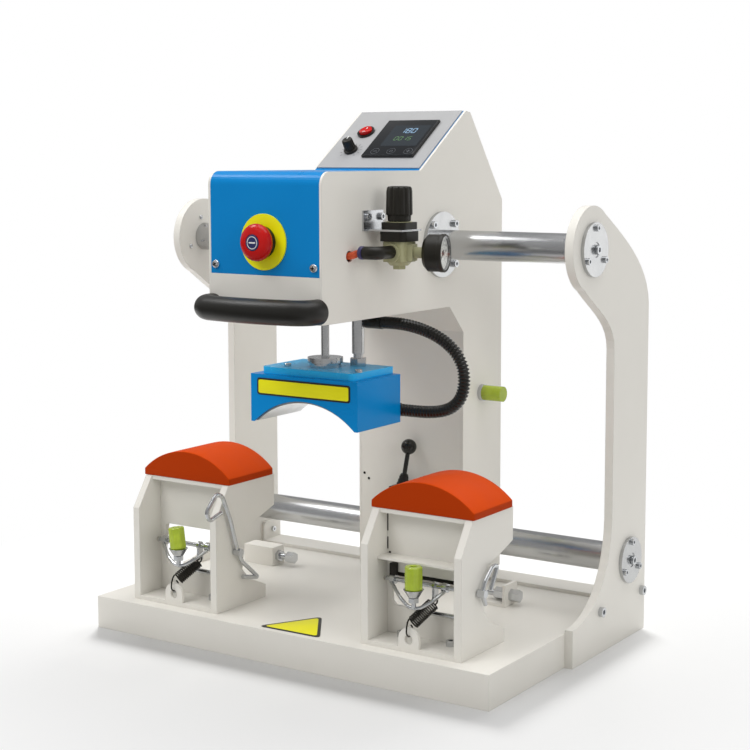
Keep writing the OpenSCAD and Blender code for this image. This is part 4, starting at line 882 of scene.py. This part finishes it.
def fluted_bumper(d, h, hole, deep):
    """A bumper with a blind hole in its top."""
    return lathe([(d / 2 - 0.8, 0), (d / 2, 0.8), (d / 2, h - 1.2), (d / 2 - 1.2, h), (hole / 2 + 0.6, h),
                  (hole / 2, h - 0.6), (hole / 2, h - deep), (0, h - deep)], 96, flutes(8, 0.05))


# The left bumper has settled a little to one side
BUMPER_LEAN = {"left": -0.13, "right": 0}
for side, lean in BUMPER_LEAN.items():
    bumper = detail(side + "_clamp_bumper", fluted_bumper(BUMPER_D, BUMPER_H, 8, 8),
                    stand((sides[side], FORM_Y + 7, BUMPER_Z), Z + lean * X), side + "_clamp",
                    "lime_polyurethane", sharp=40)
    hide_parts(side + "_bumper")


# Floor and backdrop in one, with this and all that follows in metres

def sheet(name, corners):
    """A flat sheet with four corners in metres."""
    mesh = bpy.data.meshes.new(name)
    mesh.from_pydata(corners, [], [(0, 1, 2, 3)])
    made = bpy.data.objects.new(name, mesh)
    bpy.context.scene.collection.objects.link(made)
    return made


def eye_rays(tree):
    """1 for what the camera sees straight or through glass, and 0 for light and reflections."""
    path = add(tree, "LightPath")
    return add(tree, "Math", {0: path.outputs["Is Camera Ray"], 1: path.outputs["Is Transmission Ray"]},
               operation="MAXIMUM").outputs[0]


# It is pale round the press, and white to the eye further out
REACH = 30
FADE_FROM, FADE_TO = 0.26, 0.68
floor = sheet("floor", [(x * REACH, y * REACH, 0) for x, y in ((-1, -1), (1, -1), (1, 1), (-1, 1))])
material, tree, principled = blank("pale_floor", Base_Color="#F2F2F1", Roughness=0.9,
                                   Specular_IOR_Level=0.2)
position = add(tree, "NewGeometry").outputs["Position"]
away = add(tree, "VectorMath", {0: position}, operation="LENGTH")
fade = add(tree, "MapRange", {"Value": away.outputs["Value"], "From Min": FADE_FROM,
                              "From Max": FADE_TO, "To Min": 0.1, "To Max": 1.0})
white = add(tree, "Emission", {"Strength": 1.0})
share = add(tree, "Math", {0: eye_rays(tree), 1: fade.outputs["Result"]}, operation="MULTIPLY")
mix = add(tree, "MixShader", {0: share.outputs[0], 1: principled.outputs[0], 2: white.outputs[0]})
tree.links.new(mix.outputs[0], tree.nodes["Material Output"].inputs["Surface"])
floor.data.materials.append(material)


# Cards that only show in glossy reflections

def card(name, colour, glow, corners):
    """A sheet that neither the camera nor soft light sees, and that casts no shadow."""
    made = sheet(name, corners)
    material = blank(name, Base_Color=colour, Roughness=1, Specular_IOR_Level=0,
                     Emission_Color="#FFFFFF", Emission_Strength=glow)[0]
    made.data.materials.append(material)
    made.visible_camera = False
    made.visible_diffuse = False
    made.visible_transmission = False
    made.visible_shadow = False


# Grey cards put dark bands on the shafts, and a white one stands for the studio's bright side
MID_GREY = "#6A6A6A"
card("low_card", MID_GREY, 0, [(-3, -2.2, 0.02), (0.6, -2.2, 0.02), (0.6, -0.45, 0.02), (-3, -0.45, 0.02)])
card("left_card", MID_GREY, 0, [(-2.6, -2.6, 0), (-2.6, 1.5, 0), (-2.6, 1.5, 0.6), (-2.6, -2.6, 0.6)])
card("right_card", "#F0F0F0", 0.5, [(0.9, 2.6, 0), (3.2, 0.9, 0), (3.2, 0.9, 1.6), (0.9, 2.6, 1.6)])

# Light: a soft even sky that the eye sees as white, and square soft lamps
SKY = 0.37
world = bpy.data.worlds.new("studio")
bpy.context.scene.world = world
world.use_nodes = True
tree = world.node_tree
sky = tree.nodes["Background"]
sky.inputs["Color"].default_value = (1, 1, 1, 1)
sky.inputs["Strength"].default_value = SKY
plain = add(tree, "Background", {"Color": (1, 1, 1, 1), "Strength": 1.0})
mix = add(tree, "MixShader", {0: eye_rays(tree), 1: sky.outputs[0], 2: plain.outputs[0]})
tree.links.new(mix.outputs[0], tree.nodes["World Output"].inputs["Surface"])


def linking(name, shown, state):
    """A light linking collection: one object alone with INCLUDE, all but that one with EXCLUDE."""
    made = bpy.data.collections.new(name)
    made.objects.link(shown)
    made.collection_objects[0].light_linking.link_state = state
    return made


past_floor = linking("past_floor", floor, "EXCLUDE")
floor_alone = linking("floor_alone", floor, "INCLUDE")
base_alone = linking("base_alone", frame["nodes"]["base_tray"], "INCLUDE")
AIM = Vector((0, 0, 0.3))


def lamp(name, place, power, size, shine=False, lights=None, shaded_by=None):
    """A square soft light towards the middle of the press. One with a shine shows in glossy surfaces."""
    light = bpy.data.lights.new(name, "AREA")
    light.energy = power
    light.size = size
    made = bpy.data.objects.new(name, light)
    made.location = place
    made.visible_glossy = shine
    if lights:
        made.light_linking.receiver_collection = lights
    if shaded_by:
        made.light_linking.blocker_collection = shaded_by
    made.rotation_euler = (AIM - Vector(place)).to_track_quat("-Z", "Y").to_euler()
    bpy.context.scene.collection.objects.link(made)


# The floor has a lamp of its own from behind, so that it keeps a shadow along the base
lamp("overhead", (0.3, 0.05, 2.4), 27, 2.0, shine=True, lights=past_floor)
lamp("floor_light", (-1.2, 1.25, 1.3), 49, 0.7, lights=floor_alone, shaded_by=base_alone)
lamp("bend_light", (-1.25, -0.55, 2.1), 12, 0.7, shine=True, lights=past_floor)
lamp("right_fill", (2.7, -0.9, 1.1), 18.5, 1.5, lights=past_floor)
lamp("front_key", (-0.9, -2.1, 2.3), 31, 1.4, lights=past_floor)
lamp("back_light", (0.0, 2.1, 1.9), 22, 1.4)

bpy.context.scene.view_settings.view_transform = "Standard"
